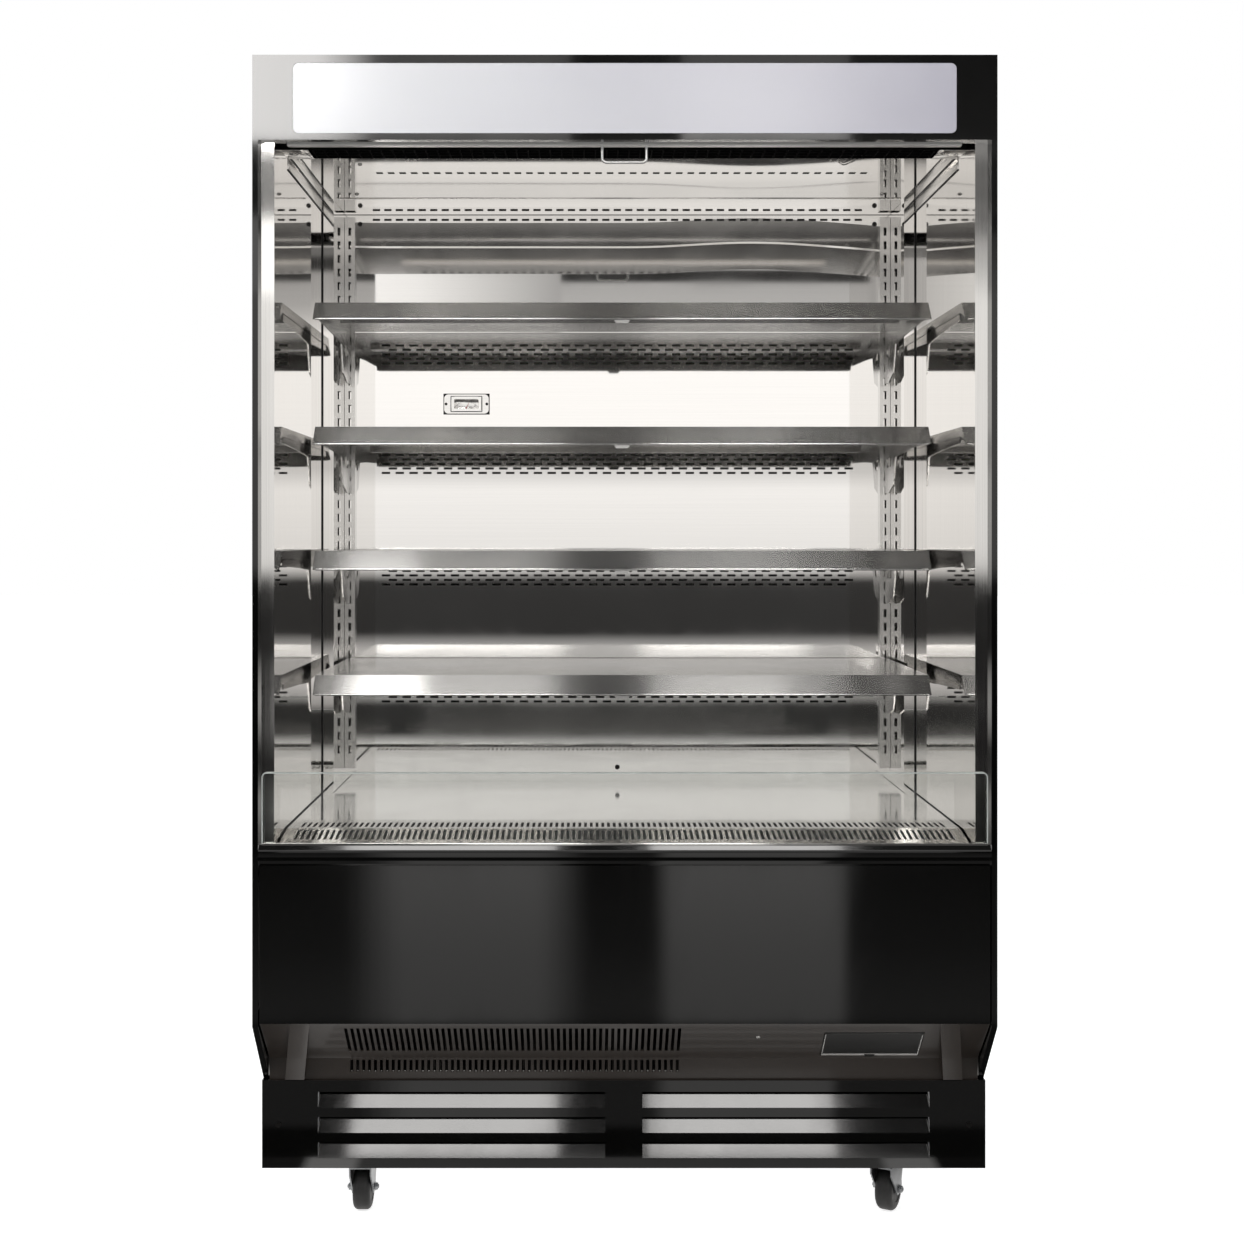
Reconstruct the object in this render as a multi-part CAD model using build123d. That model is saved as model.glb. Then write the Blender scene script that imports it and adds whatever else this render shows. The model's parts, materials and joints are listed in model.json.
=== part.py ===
from build123d import *

import os

# Open multideck display fridge. Millimetres, +Z up, front towards -Y, origin under the middle of the cabinet.
# A depth is counted backwards from the front plane, so depth 0 is the front of the cabinet.

# --- driving dimensions of the cabinet ---
WIDTH, DEPTH, HEIGHT = 1280.0, 818.0, 2045.0
FRONT = -DEPTH / 2
SHEET = 2.0
SKIN = 10.0
WALL_INNER = 604.0
WALL_OUTER = WIDTH / 2 - SKIN
BACK_SKIN = DEPTH - SHEET

# --- heights ---
BASE_Z = 100.0
PAN_SHEET = 3.0
PLINTH_TOP = 255.0
SIDE_PANEL_BOTTOM = 256.0
TUB_BOTTOM, TUB_FLOOR, TUB_RIM = 400.0, 450.0, 675.0
PANEL_BOTTOM, RAIL_BOTTOM, RAIL_TOP = 380.0, 652.0, 687.0
LEDGE_BOTTOM, LEDGE_TOP = 660.0, 680.0
DECK_Z = 696.0
HEADER_BOTTOM, CEILING = 1899.0, 1904.0
ROOF_UNDERSIDE = 1965.0

# --- depths ---
HEADER_DEPTH = 70.0
HONEYCOMB_BACK = 134.0
WALL_FRONT = 18.0
TUB_FRONT_BACK = 58.0
POST_FRONT = 503.0
DUCT_PANEL = 658.0
FOAM_BACK_FRONT = 756.0
PLINTH_FRONT = 82.0

# --- shelves ---
SHELF_COUNT = 4
SHELF_LOWEST, SHELF_PITCH = 959.0, 232.0
SHELF_HALF = 573.0
SHELF_SHEET = 1.5
SHELF_LIP_TOP, SHELF_LIP_BOTTOM, SHELF_LIP_DROP = 238.0, 210.0, 34.0
SHELF_REAR = 645.5
SLOT_PITCH, SLOT_WIDTH, SLOT_HEIGHT = 29.0, 6.0, 17.0
UPRIGHT_X, UPRIGHT_WIDTH, UPRIGHT_DEPTH = 569.5, 22.0, 12.0
UPRIGHT_BOTTOM, UPRIGHT_TOP = 725.0, 1898.0

# --- night curtain ---
ROLLER_DEPTH, ROLLER_Z, ROLLER_R = 50.0, 1958.0, 15.5
CURTAIN_HALF = 585.0
CURTAIN_DEPTH, CURTAIN_THICK = 33.8, 0.8
BAR_BOTTOM, BAR_TOP, BAR_DEEP = 1896.0, 1907.5, 14.0
PIN_R = 4.0
RUNNING = 0.05

# --- lower front, sloping back under the panel ---
SLOPE_TOP = (4.0, PANEL_BOTTOM)
SLOPE_FOOT = (89.0, 292.5)
KICK_BOTTOM = 240.0

# --- casters ---
CASTER_X, CASTER_FRONT, CASTER_REAR = 470.0, 128.5, 690.0
WHEEL_R, WHEEL_WIDTH, AXLE_R = 39.0, 32.0, 5.0
TRAIL = 25.0
KINGPIN_R = 6.0


# ---------------------------------------------------------------- helpers
def slab(x0, x1, d0, d1, z0, z1):
    """Box between two X values, two depths and two heights."""
    middle = ((x0 + x1) / 2, FRONT + (d0 + d1) / 2, (z0 + z1) / 2)
    return Pos(*middle) * Box(abs(x1 - x0), abs(d1 - d0), abs(z1 - z0))


def front_plane(depth):
    """Plane facing the shopper at a depth: local x is X, local y is Z, outwards is -Y."""
    return Plane(origin=(0, FRONT + depth, 0), x_dir=(1, 0, 0), z_dir=(0, -1, 0))


def profile(points, x0, x1):
    """Side-view outline of (depth, height) points, run along X from x0 to x1."""
    outline = Polyline(*[(FRONT + d, z) for d, z in points], close=True)
    plane = Plane(origin=(x0, 0, 0), x_dir=(0, 1, 0), z_dir=(1, 0, 0))
    return plane * extrude(make_face(outline), amount=x1 - x0)


def plan(points, z0, z1):
    """Top-view outline of (x, depth) points, run up from z0 to z1."""
    outline = Polyline(*[(x, FRONT + d) for x, d in points], close=True)
    return Pos(0, 0, z0) * extrude(make_face(outline), amount=z1 - z0)


def mirrored(shape):
    """The same shape on the other side of the cabinet."""
    return mirror(shape, about=Plane.YZ)


def both_sides(shape):
    """A shape and its mirror image as two separate solids."""
    return Compound(children=[*shape.solids(), *mirrored(shape).solids()])


def group(shapes):
    """Several separate solids as one piece of the parts list."""
    return Compound(children=[solid for shape in shapes for solid in shape.solids()])


def rod(radius, start, end):
    """Round bar between two points given as (x, depth, z)."""
    a, b = [Vector(x, FRONT + d, z) for x, d, z in (start, end)]
    axis = b - a
    standing = (Align.CENTER, Align.CENTER, Align.MIN)
    return Plane(origin=a, z_dir=axis) * Cylinder(radius, axis.length, align=standing)


def evenly(count, pitch, centre=0.0):
    """Positions of a centred row."""
    return [centre + (i - (count - 1) / 2) * pitch for i in range(count)]


def pierced_plate(plane, outline, holes, thickness):
    """Flat plate behind a plane, pierced by closed holes."""
    face = Face(outline, holes)
    return plane * extrude(face, amount=-thickness)


def rectangle(x, y, width, height):
    """Closed rectangular outline about a point."""
    return (Pos(x, y) * Rectangle(width, height)).wire()


def slot_rows(xs, ys, width, height, stagger=0.0):
    """Rows of rectangular slots, every second row shifted along."""
    return [rectangle(x + (row % 2) * stagger, y, width, height) for row, y in enumerate(ys) for x in xs]


def at_slope(local_x, along, out=0.0):
    """Frame on the undercut slope: along is measured down it from its top edge, out is away from it."""
    fall = Vector(0, SLOPE_FOOT[0] - SLOPE_TOP[0], SLOPE_FOOT[1] - SLOPE_TOP[1]).normalized()
    outwards = fall.cross(Vector(1, 0, 0))
    origin = Vector(local_x, FRONT + SLOPE_TOP[0], SLOPE_TOP[1]) + fall * along + outwards * out
    return Plane(origin=origin, x_dir=(1, 0, 0), z_dir=outwards)


# ---------------------------------------------------------------- cabinet shell
SIDE_SETBACK = 95.0
SIDE_CHAMFER_TOP = 375.0


def side_panel():
    """Painted outer side, cut back at the lower front."""
    return profile([(0, HEIGHT), (0, SIDE_CHAMFER_TOP), (SIDE_SETBACK, SIDE_PANEL_BOTTOM),
                    (BACK_SKIN, SIDE_PANEL_BOTTOM), (BACK_SKIN, HEIGHT)], WALL_OUTER, WIDTH / 2)


LEDGE_INNER, LEDGE_FRONT, LEDGE_BACK = 576.0, 60.0, 660.0


def side_wall():
    """Insulated side wall that stands on the base pan, with a polished inner face and a ledge for the deck."""
    wall = profile([(WALL_FRONT, TUB_BOTTOM), (SIDE_SETBACK, TUB_BOTTOM), (SIDE_SETBACK, BASE_Z + PAN_SHEET),
                    (BACK_SKIN, BASE_Z + PAN_SHEET), (BACK_SKIN, HEIGHT - SHEET),
                    (HEADER_DEPTH, HEIGHT - SHEET), (HEADER_DEPTH, HEADER_BOTTOM),
                    (WALL_FRONT, HEADER_BOTTOM)], WALL_INNER, WALL_OUTER)
    return wall + slab(LEDGE_INNER, WALL_INNER, LEDGE_FRONT, LEDGE_BACK, LEDGE_BOTTOM, LEDGE_TOP)


TRIM_FRONT, TRIM_STEP, TRIM_FACE_EDGE = 10.0, 14.0, 621.0


def edge_trim():
    """Upright cover strip on the front edge of a side wall, stepped back next to the outer panel."""
    return plan([(WALL_INNER, TRIM_FRONT), (TRIM_FACE_EDGE, TRIM_FRONT), (TRIM_FACE_EDGE, TRIM_STEP),
                 (WALL_OUTER, TRIM_STEP), (WALL_OUTER, WALL_FRONT), (WALL_INNER, WALL_FRONT)],
                RAIL_TOP, HEADER_BOTTOM)


POST_INNER = 581.0


def corner_post():
    """Folded corner cover between a side wall and the back of the display space."""
    fold = POST_INNER + SHEET
    return plan([(POST_INNER, POST_FRONT), (WALL_INNER, POST_FRONT), (WALL_INNER, POST_FRONT + SHEET),
                 (fold, POST_FRONT + SHEET), (fold, DUCT_PANEL), (POST_INNER, DUCT_PANEL)],
                LEDGE_TOP, CEILING)


GLAND_X, GLAND_Z, GLAND_R = 540.0, 300.0, 12.0


def back_panel():
    """Outer rear sheet with the hole for the supply gland; the machine space stays open below it."""
    outline = rectangle(0, (SIDE_PANEL_BOTTOM + HEIGHT) / 2, WIDTH, HEIGHT - SIDE_PANEL_BOTTOM)
    gland_hole = (Pos(GLAND_X, GLAND_Z) * Circle(GLAND_R)).wire()
    return pierced_plate(front_plane(BACK_SKIN), outline, [gland_hole], SHEET)


GLAND_BORE, GLAND_FLANGE_R, GLAND_INSIDE = 6.5, 18.0, 22.0


def cord_gland():
    """Bushing that guides the supply lead through the back panel."""
    body = rod(GLAND_R, (GLAND_X, DEPTH - GLAND_INSIDE, GLAND_Z), (GLAND_X, DEPTH, GLAND_Z))
    flange = rod(GLAND_FLANGE_R, (GLAND_X, BACK_SKIN - 2 * SHEET, GLAND_Z), (GLAND_X, BACK_SKIN, GLAND_Z))
    bore = rod(GLAND_BORE, (GLAND_X, DEPTH - GLAND_INSIDE, GLAND_Z), (GLAND_X, DEPTH, GLAND_Z))
    return body + flange - bore


DRAIN_X, DRAIN_DEPTH, DRAIN_R = 60.0, 690.0, 12.0
SPIGOT_BOTTOM = 340.0


def foam_body():
    """Foamed-in-place body: tub front, tub floor, back and roof in one, with its drain spigot."""
    shell = profile([(WALL_FRONT, TUB_BOTTOM), (BACK_SKIN, TUB_BOTTOM), (BACK_SKIN, HEIGHT - SHEET),
                     (HEADER_DEPTH, HEIGHT - SHEET), (HEADER_DEPTH, ROOF_UNDERSIDE),
                     (FOAM_BACK_FRONT, ROOF_UNDERSIDE), (FOAM_BACK_FRONT, TUB_FLOOR),
                     (TUB_FRONT_BACK, TUB_FLOOR), (TUB_FRONT_BACK, TUB_RIM), (WALL_FRONT, TUB_RIM)],
                    -WALL_INNER, WALL_INNER)
    spigot = rod(DRAIN_R, (DRAIN_X, DRAIN_DEPTH, SPIGOT_BOTTOM), (DRAIN_X, DRAIN_DEPTH, TUB_BOTTOM))
    bore = rod(DRAIN_R - SHEET, (DRAIN_X, DRAIN_DEPTH, SPIGOT_BOTTOM), (DRAIN_X, DRAIN_DEPTH, TUB_FLOOR))
    return shell + spigot - bore


def top_panel():
    """Outer roof sheet behind the header."""
    return slab(-WALL_OUTER, WALL_OUTER, HEADER_DEPTH, BACK_SKIN, HEIGHT - SHEET, HEIGHT)


# ---------------------------------------------------------------- header and sign
SIGN_HALF, SIGN_LOW, SIGN_HIGH, SIGN_CORNER = 570.0, 1910.0, 2031.0, 10.0
DIVIDER_DEPTH = 24.0
SIGN_GAP, SIGN_FLANGE = 0.4, 6.0


def sign_outline(gap, corner):
    """Rounded window of the sign, smaller by a gap all round."""
    middle = (SIGN_LOW + SIGN_HIGH) / 2
    return Pos(0, middle) * RectangleRounded(2 * (SIGN_HALF - gap), SIGN_HIGH - SIGN_LOW - 2 * gap, corner)


def header_box():
    """Folded header with the sign window in front and the curtain bay behind its divider."""
    inner = WALL_OUTER - SHEET
    face = slab(-WALL_OUTER, WALL_OUTER, 0, SHEET, HEADER_BOTTOM, HEIGHT)
    face -= front_plane(0) * extrude(sign_outline(0, SIGN_CORNER), amount=-SHEET)
    box = face + slab(-WALL_OUTER, WALL_OUTER, SHEET, HEADER_DEPTH, HEIGHT - SHEET, HEIGHT)
    for side in (-1, 1):
        box += slab(side * inner, side * WALL_OUTER, SHEET, HEADER_DEPTH, HEADER_BOTTOM, HEIGHT - SHEET)
    low, behind = HEADER_BOTTOM + SHEET, DIVIDER_DEPTH + SHEET
    box += slab(-inner, inner, SHEET, behind, HEADER_BOTTOM, low)
    return box + slab(-inner, inner, DIVIDER_DEPTH, behind, low, HEIGHT - SHEET)


def sign_lens():
    """Translucent sign plate, flush in the window, with a flange behind the header face."""
    plate = front_plane(0) * extrude(sign_outline(SIGN_GAP, SIGN_CORNER - SIGN_GAP), amount=-SHEET)
    flange = front_plane(SHEET) * extrude(sign_outline(-SIGN_FLANGE, SIGN_CORNER), amount=-SHEET)
    return plate + flange


LIGHT_HALF, LIGHT_HIGH, LIGHT_DEEP = 555.0, 10.0, 6.0


def sign_light_bars():
    """Two light strips on the divider behind the sign plate."""
    heights = evenly(2, (SIGN_HIGH - SIGN_LOW) / 2, (SIGN_LOW + SIGN_HIGH) / 2)
    return group([slab(-LIGHT_HALF, LIGHT_HALF, DIVIDER_DEPTH - LIGHT_DEEP, DIVIDER_DEPTH,
                       z - LIGHT_HIGH / 2, z + LIGHT_HIGH / 2) for z in heights])


# ---------------------------------------------------------------- night curtain
CASSETTE_HALF, CASSETTE_BACK, CASSETTE_BOTTOM, CASSETTE_TOP = 600.0, 68.0, 1916.0, 1998.0
MOUTH_FRONT, MOUTH_BACK = 28.5, 41.0


def curtain_cassette():
    """Hood of the night curtain, open in a slit below, with a bearing hole in each end."""
    front = DIVIDER_DEPTH + SHEET
    hood = slab(-CASSETTE_HALF, CASSETTE_HALF, front, CASSETTE_BACK, CASSETTE_BOTTOM, CASSETTE_TOP)
    end = CASSETTE_HALF - SHEET
    hood -= slab(-end, end, front + SHEET, CASSETTE_BACK - SHEET,
                 CASSETTE_BOTTOM + SHEET, CASSETTE_TOP - SHEET)
    hood -= slab(-end, end, MOUTH_FRONT, MOUTH_BACK, CASSETTE_BOTTOM, CASSETTE_BOTTOM + SHEET)
    return hood - rod(PIN_R + RUNNING, (-CASSETTE_HALF, ROLLER_DEPTH, ROLLER_Z),
                      (CASSETTE_HALF, ROLLER_DEPTH, ROLLER_Z))


def curtain_roller():
    """Spring roller with the curtain wound on it, and its two end pins."""
    drum = rod(ROLLER_R, (-CURTAIN_HALF, ROLLER_DEPTH, ROLLER_Z), (CURTAIN_HALF, ROLLER_DEPTH, ROLLER_Z))
    pins = rod(PIN_R, (-CASSETTE_HALF, ROLLER_DEPTH, ROLLER_Z), (CASSETTE_HALF, ROLLER_DEPTH, ROLLER_Z))
    return drum + pins


def curtain_sheet():
    """Free end of the curtain between the roller and its pull bar."""
    return slab(-CURTAIN_HALF, CURTAIN_HALF, CURTAIN_DEPTH - CURTAIN_THICK / 2,
                CURTAIN_DEPTH + CURTAIN_THICK / 2, BAR_TOP, ROLLER_Z)


HANDLE_HALF, HANDLE_DROP, HANDLE_WIRE, HANDLE_BEND = 38.5, 28.0, 2.5, 8.0


def curtain_bar():
    """Pull bar along the foot of the curtain with its wire handle."""
    bar = slab(-CURTAIN_HALF, CURTAIN_HALF, CURTAIN_DEPTH - BAR_DEEP / 2, CURTAIN_DEPTH + BAR_DEEP / 2,
               BAR_BOTTOM, BAR_TOP)
    y = FRONT + CURTAIN_DEPTH
    top, foot = BAR_BOTTOM + SHEET, BAR_BOTTOM - HANDLE_DROP
    path = FilletPolyline((-HANDLE_HALF, y, top), (-HANDLE_HALF, y, foot), (HANDLE_HALF, y, foot),
                          (HANDLE_HALF, y, top), radius=HANDLE_BEND)
    wire = sweep(Plane(origin=path @ 0, z_dir=path % 0) * Circle(HANDLE_WIRE), path=path)
    return bar + wire


# ---------------------------------------------------------------- display space
PERF_HALF, PERF_PITCH, PERF_LONG, PERF_HIGH = 516.0, 29.5, 18.0, 4.5
PERF_ROWS, PERF_ROW_PITCH = 5, 9.6
PERF_BOTTOMS = (866.0, 1116.0, 1354.0, 1588.0)
TOP_ROW_Z, TOP_ROW_PITCH, TOP_ROW_LONG, TOP_ROW_HALF = 1894.5, 24.5, 15.5, 522.0


def back_duct_panel():
    """Polished air panel at the back, with a slot group under each shelf and a row at the top."""
    outline = rectangle(0, (LEDGE_TOP + CEILING) / 2, 2 * WALL_INNER, CEILING - LEDGE_TOP)
    columns = evenly(int(2 * PERF_HALF / PERF_PITCH), PERF_PITCH, -PERF_PITCH / 4)
    holes = []
    for bottom in PERF_BOTTOMS:
        rows = [bottom + i * PERF_ROW_PITCH for i in range(PERF_ROWS)]
        holes += slot_rows(columns, rows, PERF_LONG, PERF_HIGH, PERF_PITCH / 2)
    top_columns = evenly(int(2 * TOP_ROW_HALF / TOP_ROW_PITCH) + 1, TOP_ROW_PITCH)
    holes += slot_rows(top_columns, [TOP_ROW_Z], TOP_ROW_LONG, PERF_HIGH)
    return pierced_plate(front_plane(DUCT_PANEL), outline, holes, SHEET)


CREASE_DEPTH, CREASE_RISE = 495.0, 1.0
COVER_HALF, COVER_FRONT, COVER_BACK = 500.0, HONEYCOMB_BACK, 317.0
COVER_ROW_HALF, COVER_PITCH, COVER_SLOT = 455.0, 21.6, 12.5
COVER_SLOT_NEAR, COVER_SLOT_FAR = 240.0, 254.0


def ceiling_panel():
    """Polished ceiling sheet of the display space, bent up a little behind its crease."""
    end, rear = DUCT_PANEL + SHEET, CEILING + CREASE_RISE
    return profile([(HONEYCOMB_BACK, CEILING), (CREASE_DEPTH, CEILING), (end, rear), (end, rear + SHEET),
                    (CREASE_DEPTH, CEILING + SHEET), (HONEYCOMB_BACK, CEILING + SHEET)],
                   -WALL_INNER, WALL_INNER)


def ceiling_duct_cover():
    """Shallow tray under the front of the ceiling with one row of air slots."""
    low, inner = HEADER_BOTTOM, HEADER_BOTTOM + SHELF_SHEET
    tray = slab(-COVER_HALF, COVER_HALF, COVER_FRONT, COVER_BACK, low, CEILING)
    edge = COVER_HALF - SHELF_SHEET
    tray -= slab(-edge, edge, COVER_FRONT + SHELF_SHEET, COVER_BACK - SHELF_SHEET, inner, CEILING)
    half = COVER_SLOT / 2
    for x in evenly(int(2 * COVER_ROW_HALF / COVER_PITCH) + 1, COVER_PITCH):
        tray -= slab(x - half, x + half, COVER_SLOT_NEAR, COVER_SLOT_FAR, low, inner)
    return tray


HONEYCOMB_TOP, CELL_PITCH, CELL_WALL, CELL_ROWS = 1915.0, 20.0, 3.0, 3


def air_honeycomb():
    """Black air curtain outlet behind the header, divided into cells."""
    outline = rectangle(0, (HEADER_DEPTH + HONEYCOMB_BACK) / 2, 2 * WALL_INNER, HONEYCOMB_BACK - HEADER_DEPTH)
    columns = evenly(int(2 * WALL_INNER / CELL_PITCH) - 1, CELL_PITCH)
    rows = evenly(CELL_ROWS, CELL_PITCH, (HEADER_DEPTH + HONEYCOMB_BACK) / 2)
    cells = slot_rows(columns, rows, CELL_PITCH - CELL_WALL, CELL_PITCH - CELL_WALL)
    plane = Plane(origin=(0, FRONT, HONEYCOMB_TOP), x_dir=(1, 0, 0), z_dir=(0, 0, 1))
    return pierced_plate(plane, outline, cells, HONEYCOMB_TOP - HEADER_BOTTOM)


def slot_heights():
    """Heights of the slots in an upright; the shelf heights are whole pitches apart."""
    first = SHELF_LOWEST - HOOK_DROP
    lowest = -int((first - UPRIGHT_BOTTOM - SLOT_HEIGHT) / SLOT_PITCH)
    highest = int((UPRIGHT_TOP - SLOT_HEIGHT - first) / SLOT_PITCH)
    return [first + i * SLOT_PITCH for i in range(lowest, highest + 1)]


def shelf_upright():
    """Slotted channel that carries the shelf brackets."""
    x0, x1 = UPRIGHT_X - UPRIGHT_WIDTH / 2, UPRIGHT_X + UPRIGHT_WIDTH / 2
    front = DUCT_PANEL - UPRIGHT_DEPTH
    channel = slab(x0, x1, front, DUCT_PANEL, UPRIGHT_BOTTOM, UPRIGHT_TOP)
    channel -= slab(x0 + SHELF_SHEET, x1 - SHELF_SHEET, front + SHEET, DUCT_PANEL, UPRIGHT_BOTTOM, UPRIGHT_TOP)
    for z in slot_heights():
        channel -= slab(UPRIGHT_X - SLOT_WIDTH / 2, UPRIGHT_X + SLOT_WIDTH / 2, front, front + SHEET,
                        z - SLOT_HEIGHT / 2, z + SLOT_HEIGHT / 2)
    return channel


HOOK_DROP, HOOK_SPACING, HOOK_NECK, HOOK_TONGUE = 20.0, 58.0, 8.0, 8.0
BRACKET_THICK, BRACKET_FRONT, BRACKET_TALL, BRACKET_NOSE = 3.0, 262.0, 112.0, 28.0
BRACKET_THROAT = ((600.0, 112.0), (552.0, 97.0), (530.0, 40.0), (430.0, 34.0))
BRACKET_HOLE_DEPTH, BRACKET_HOLE_DROP, BRACKET_HOLE_LONG, BRACKET_HOLE_HIGH = 590.0, 48.0, 60.0, 22.0


def shelf_bracket(top):
    """Bracket plate with a shallow arm and a deep heel, hooked into two slots of its upright."""
    face = DUCT_PANEL - UPRIGHT_DEPTH
    back, x0, x1 = face - 0.3, UPRIGHT_X - BRACKET_THICK / 2, UPRIGHT_X + BRACKET_THICK / 2
    plate = profile([(BRACKET_FRONT, top), (back, top), (back, top - BRACKET_TALL),
                     *[(depth, top - drop) for depth, drop in BRACKET_THROAT],
                     (BRACKET_FRONT, top - BRACKET_NOSE)], x0, x1)
    hole = SlotOverall(BRACKET_HOLE_LONG, BRACKET_HOLE_HIGH)
    middle = (x0, FRONT + BRACKET_HOLE_DEPTH, top - BRACKET_HOLE_DROP)
    plate -= Plane(origin=middle, x_dir=(0, 1, 0), z_dir=(1, 0, 0)) * extrude(hole, amount=BRACKET_THICK)
    for drop in (HOOK_DROP, HOOK_DROP + HOOK_SPACING):
        foot = top + SHELF_SHEET - drop - SLOT_HEIGHT / 2
        behind = face + SHEET + 0.3
        plate += slab(x0, x1, back, behind + BRACKET_THICK, foot, foot + HOOK_NECK)
        plate += slab(x0, x1, behind, behind + BRACKET_THICK, foot - HOOK_TONGUE, foot)
    return plate


def shelf_heights():
    """Top surfaces of the shelves, lowest first."""
    return [SHELF_LOWEST + i * SHELF_PITCH for i in range(SHELF_COUNT)]


def shelf_brackets():
    """All the shelf brackets, a pair under each shelf."""
    return group([both_sides(shelf_bracket(z - SHELF_SHEET)) for z in shelf_heights()])


LIP_CORNER, SIDE_FOLD, HEM_R = 5.0, 18.0, 2.2
CHANNEL_HALF, CHANNEL_FRONT, CHANNEL_BACK, CHANNEL_DROP = 555.0, 420.0, 460.0, 12.0


def shelf_tray(top):
    """Folded shelf: flat top, lip leaning forward to a rolled hem, side folds and a stiffener below."""
    t = SHELF_SHEET
    tray = slab(-SHELF_HALF, SHELF_HALF, SHELF_LIP_TOP, SHELF_REAR, top - t, top)
    foot = top - SHELF_LIP_DROP
    lip = profile([(SHELF_LIP_TOP, top), (SHELF_LIP_BOTTOM, foot), (SHELF_LIP_BOTTOM + t, foot - 1),
                   (SHELF_LIP_TOP + 2 * t, top - t)], -SHELF_HALF, SHELF_HALF)
    lip += rod(HEM_R, (LIP_CORNER - SHELF_HALF, SHELF_LIP_BOTTOM + HEM_R, foot),
               (SHELF_HALF - LIP_CORNER, SHELF_LIP_BOTTOM + HEM_R, foot))
    reach = SHELF_LIP_DROP + 2 * HEM_R
    front_view = Pos(0, top - reach / 2) * Rectangle(2 * SHELF_HALF, reach)
    front_view = fillet(front_view.vertices().group_by(Axis.Y)[0], LIP_CORNER)
    tray += lip & (front_plane(0) * extrude(front_view, amount=-SHELF_REAR))
    end_fold = profile([(SHELF_REAR, top), (SHELF_LIP_TOP, top),
                        (SHELF_LIP_BOTTOM + LIP_CORNER, foot + LIP_CORNER),
                        (SHELF_LIP_TOP + LIP_CORNER, top - SIDE_FOLD), (SHELF_REAR, top - SIDE_FOLD)],
                       SHELF_HALF - t, SHELF_HALF)
    tray = tray + end_fold + mirrored(end_fold)
    stiffener = slab(-CHANNEL_HALF, CHANNEL_HALF, CHANNEL_FRONT, CHANNEL_BACK, top - t - CHANNEL_DROP, top - t)
    stiffener -= slab(-CHANNEL_HALF, CHANNEL_HALF, CHANNEL_FRONT + t, CHANNEL_BACK - t,
                      top - CHANNEL_DROP, top - t)
    return tray + stiffener


PAN_HALF, PAN_FRONT, PAN_FOLD = 601.0, 195.0, LEDGE_TOP


def deck_pan():
    """Lift-out polished bottom deck, notched round the corner posts."""
    gap, narrow = 0.5, POST_INNER - 1.0
    front, notch, rear = PAN_FRONT + gap, POST_FRONT - gap, DUCT_PANEL - gap
    top = plan([(-PAN_HALF, front), (PAN_HALF, front), (PAN_HALF, notch), (narrow, notch), (narrow, rear),
                (-narrow, rear), (-narrow, notch), (-PAN_HALF, notch)], DECK_Z - SHEET, DECK_Z)
    fold = slab(PAN_HALF - SHEET, PAN_HALF, front, notch, PAN_FOLD, DECK_Z - SHEET)
    rear_fold = slab(-narrow, narrow, rear - SHEET, rear, PAN_FOLD, DECK_Z - SHEET)
    return top + fold + mirrored(fold) + rear_fold


GRILLE_FRONT, GRILLE_BREAK = 20.0, 112.0
GRILLE_FRONT_Z = 680.0
GRILLE_COUNT, GRILLE_PITCH, GRILLE_SLOT = 112, 10.4, 5.0
GRILLE_ROWS = ((58.0, 106.0), (127.0, 170.0))


def return_air_grille():
    """Lift-out return-air grille: a flat strip behind and a gentle slope down to the glass in front."""
    flat, t = DECK_Z, SHEET
    body = profile([(GRILLE_FRONT, TUB_RIM), (GRILLE_FRONT, GRILLE_FRONT_Z), (GRILLE_BREAK, flat),
                    (PAN_FRONT, flat), (PAN_FRONT, flat - t), (GRILLE_BREAK, flat - t),
                    (GRILLE_FRONT + t, GRILLE_FRONT_Z - t), (GRILLE_FRONT + t, TUB_RIM)], -PAN_HALF, PAN_HALF)
    end = profile([(LEDGE_FRONT + t, LEDGE_TOP), (PAN_FRONT, LEDGE_TOP), (PAN_FRONT, flat - t),
                   (GRILLE_BREAK, flat - t), (LEDGE_FRONT + t, LEDGE_TOP + t)], PAN_HALF - t, PAN_HALF)
    cutters = [slab(x - GRILLE_SLOT / 2, x + GRILLE_SLOT / 2, near, far, LEDGE_TOP + t, flat)
               for near, far in GRILLE_ROWS for x in evenly(GRILLE_COUNT, GRILLE_PITCH)]
    return (body - cutters) + end + mirrored(end)


THERMO_X, THERMO_Z = -322.0, 1501.0
THERMO_LONG, THERMO_HIGH, THERMO_CORNER, THERMO_PLATE = 95.0, 41.0, 9.0, 3.0
FRAME_LONG, FRAME_HIGH, FRAME_CORNER, FRAME_DEEP = 64.0, 31.0, 8.0, 7.0
DIAL_LONG, DIAL_HIGH, DIAL_CORNER, DIAL_SUNK = 53.0, 21.0, 4.0, 2.5


def thermometer():
    """Dial thermometer on the back panel: a rounded plate and a raised frame with the dial sunk in it."""
    def layer(depth, long, high, corner, deep):
        outline = Pos(THERMO_X, THERMO_Z) * RectangleRounded(long, high, corner)
        return front_plane(depth) * extrude(outline, amount=deep)

    plate = layer(DUCT_PANEL, THERMO_LONG, THERMO_HIGH, THERMO_CORNER, THERMO_PLATE)
    frame = layer(DUCT_PANEL, FRAME_LONG, FRAME_HIGH, FRAME_CORNER, FRAME_DEEP)
    return plate + frame - layer(DUCT_PANEL - FRAME_DEEP, DIAL_LONG, DIAL_HIGH, DIAL_CORNER, -DIAL_SUNK)


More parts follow.
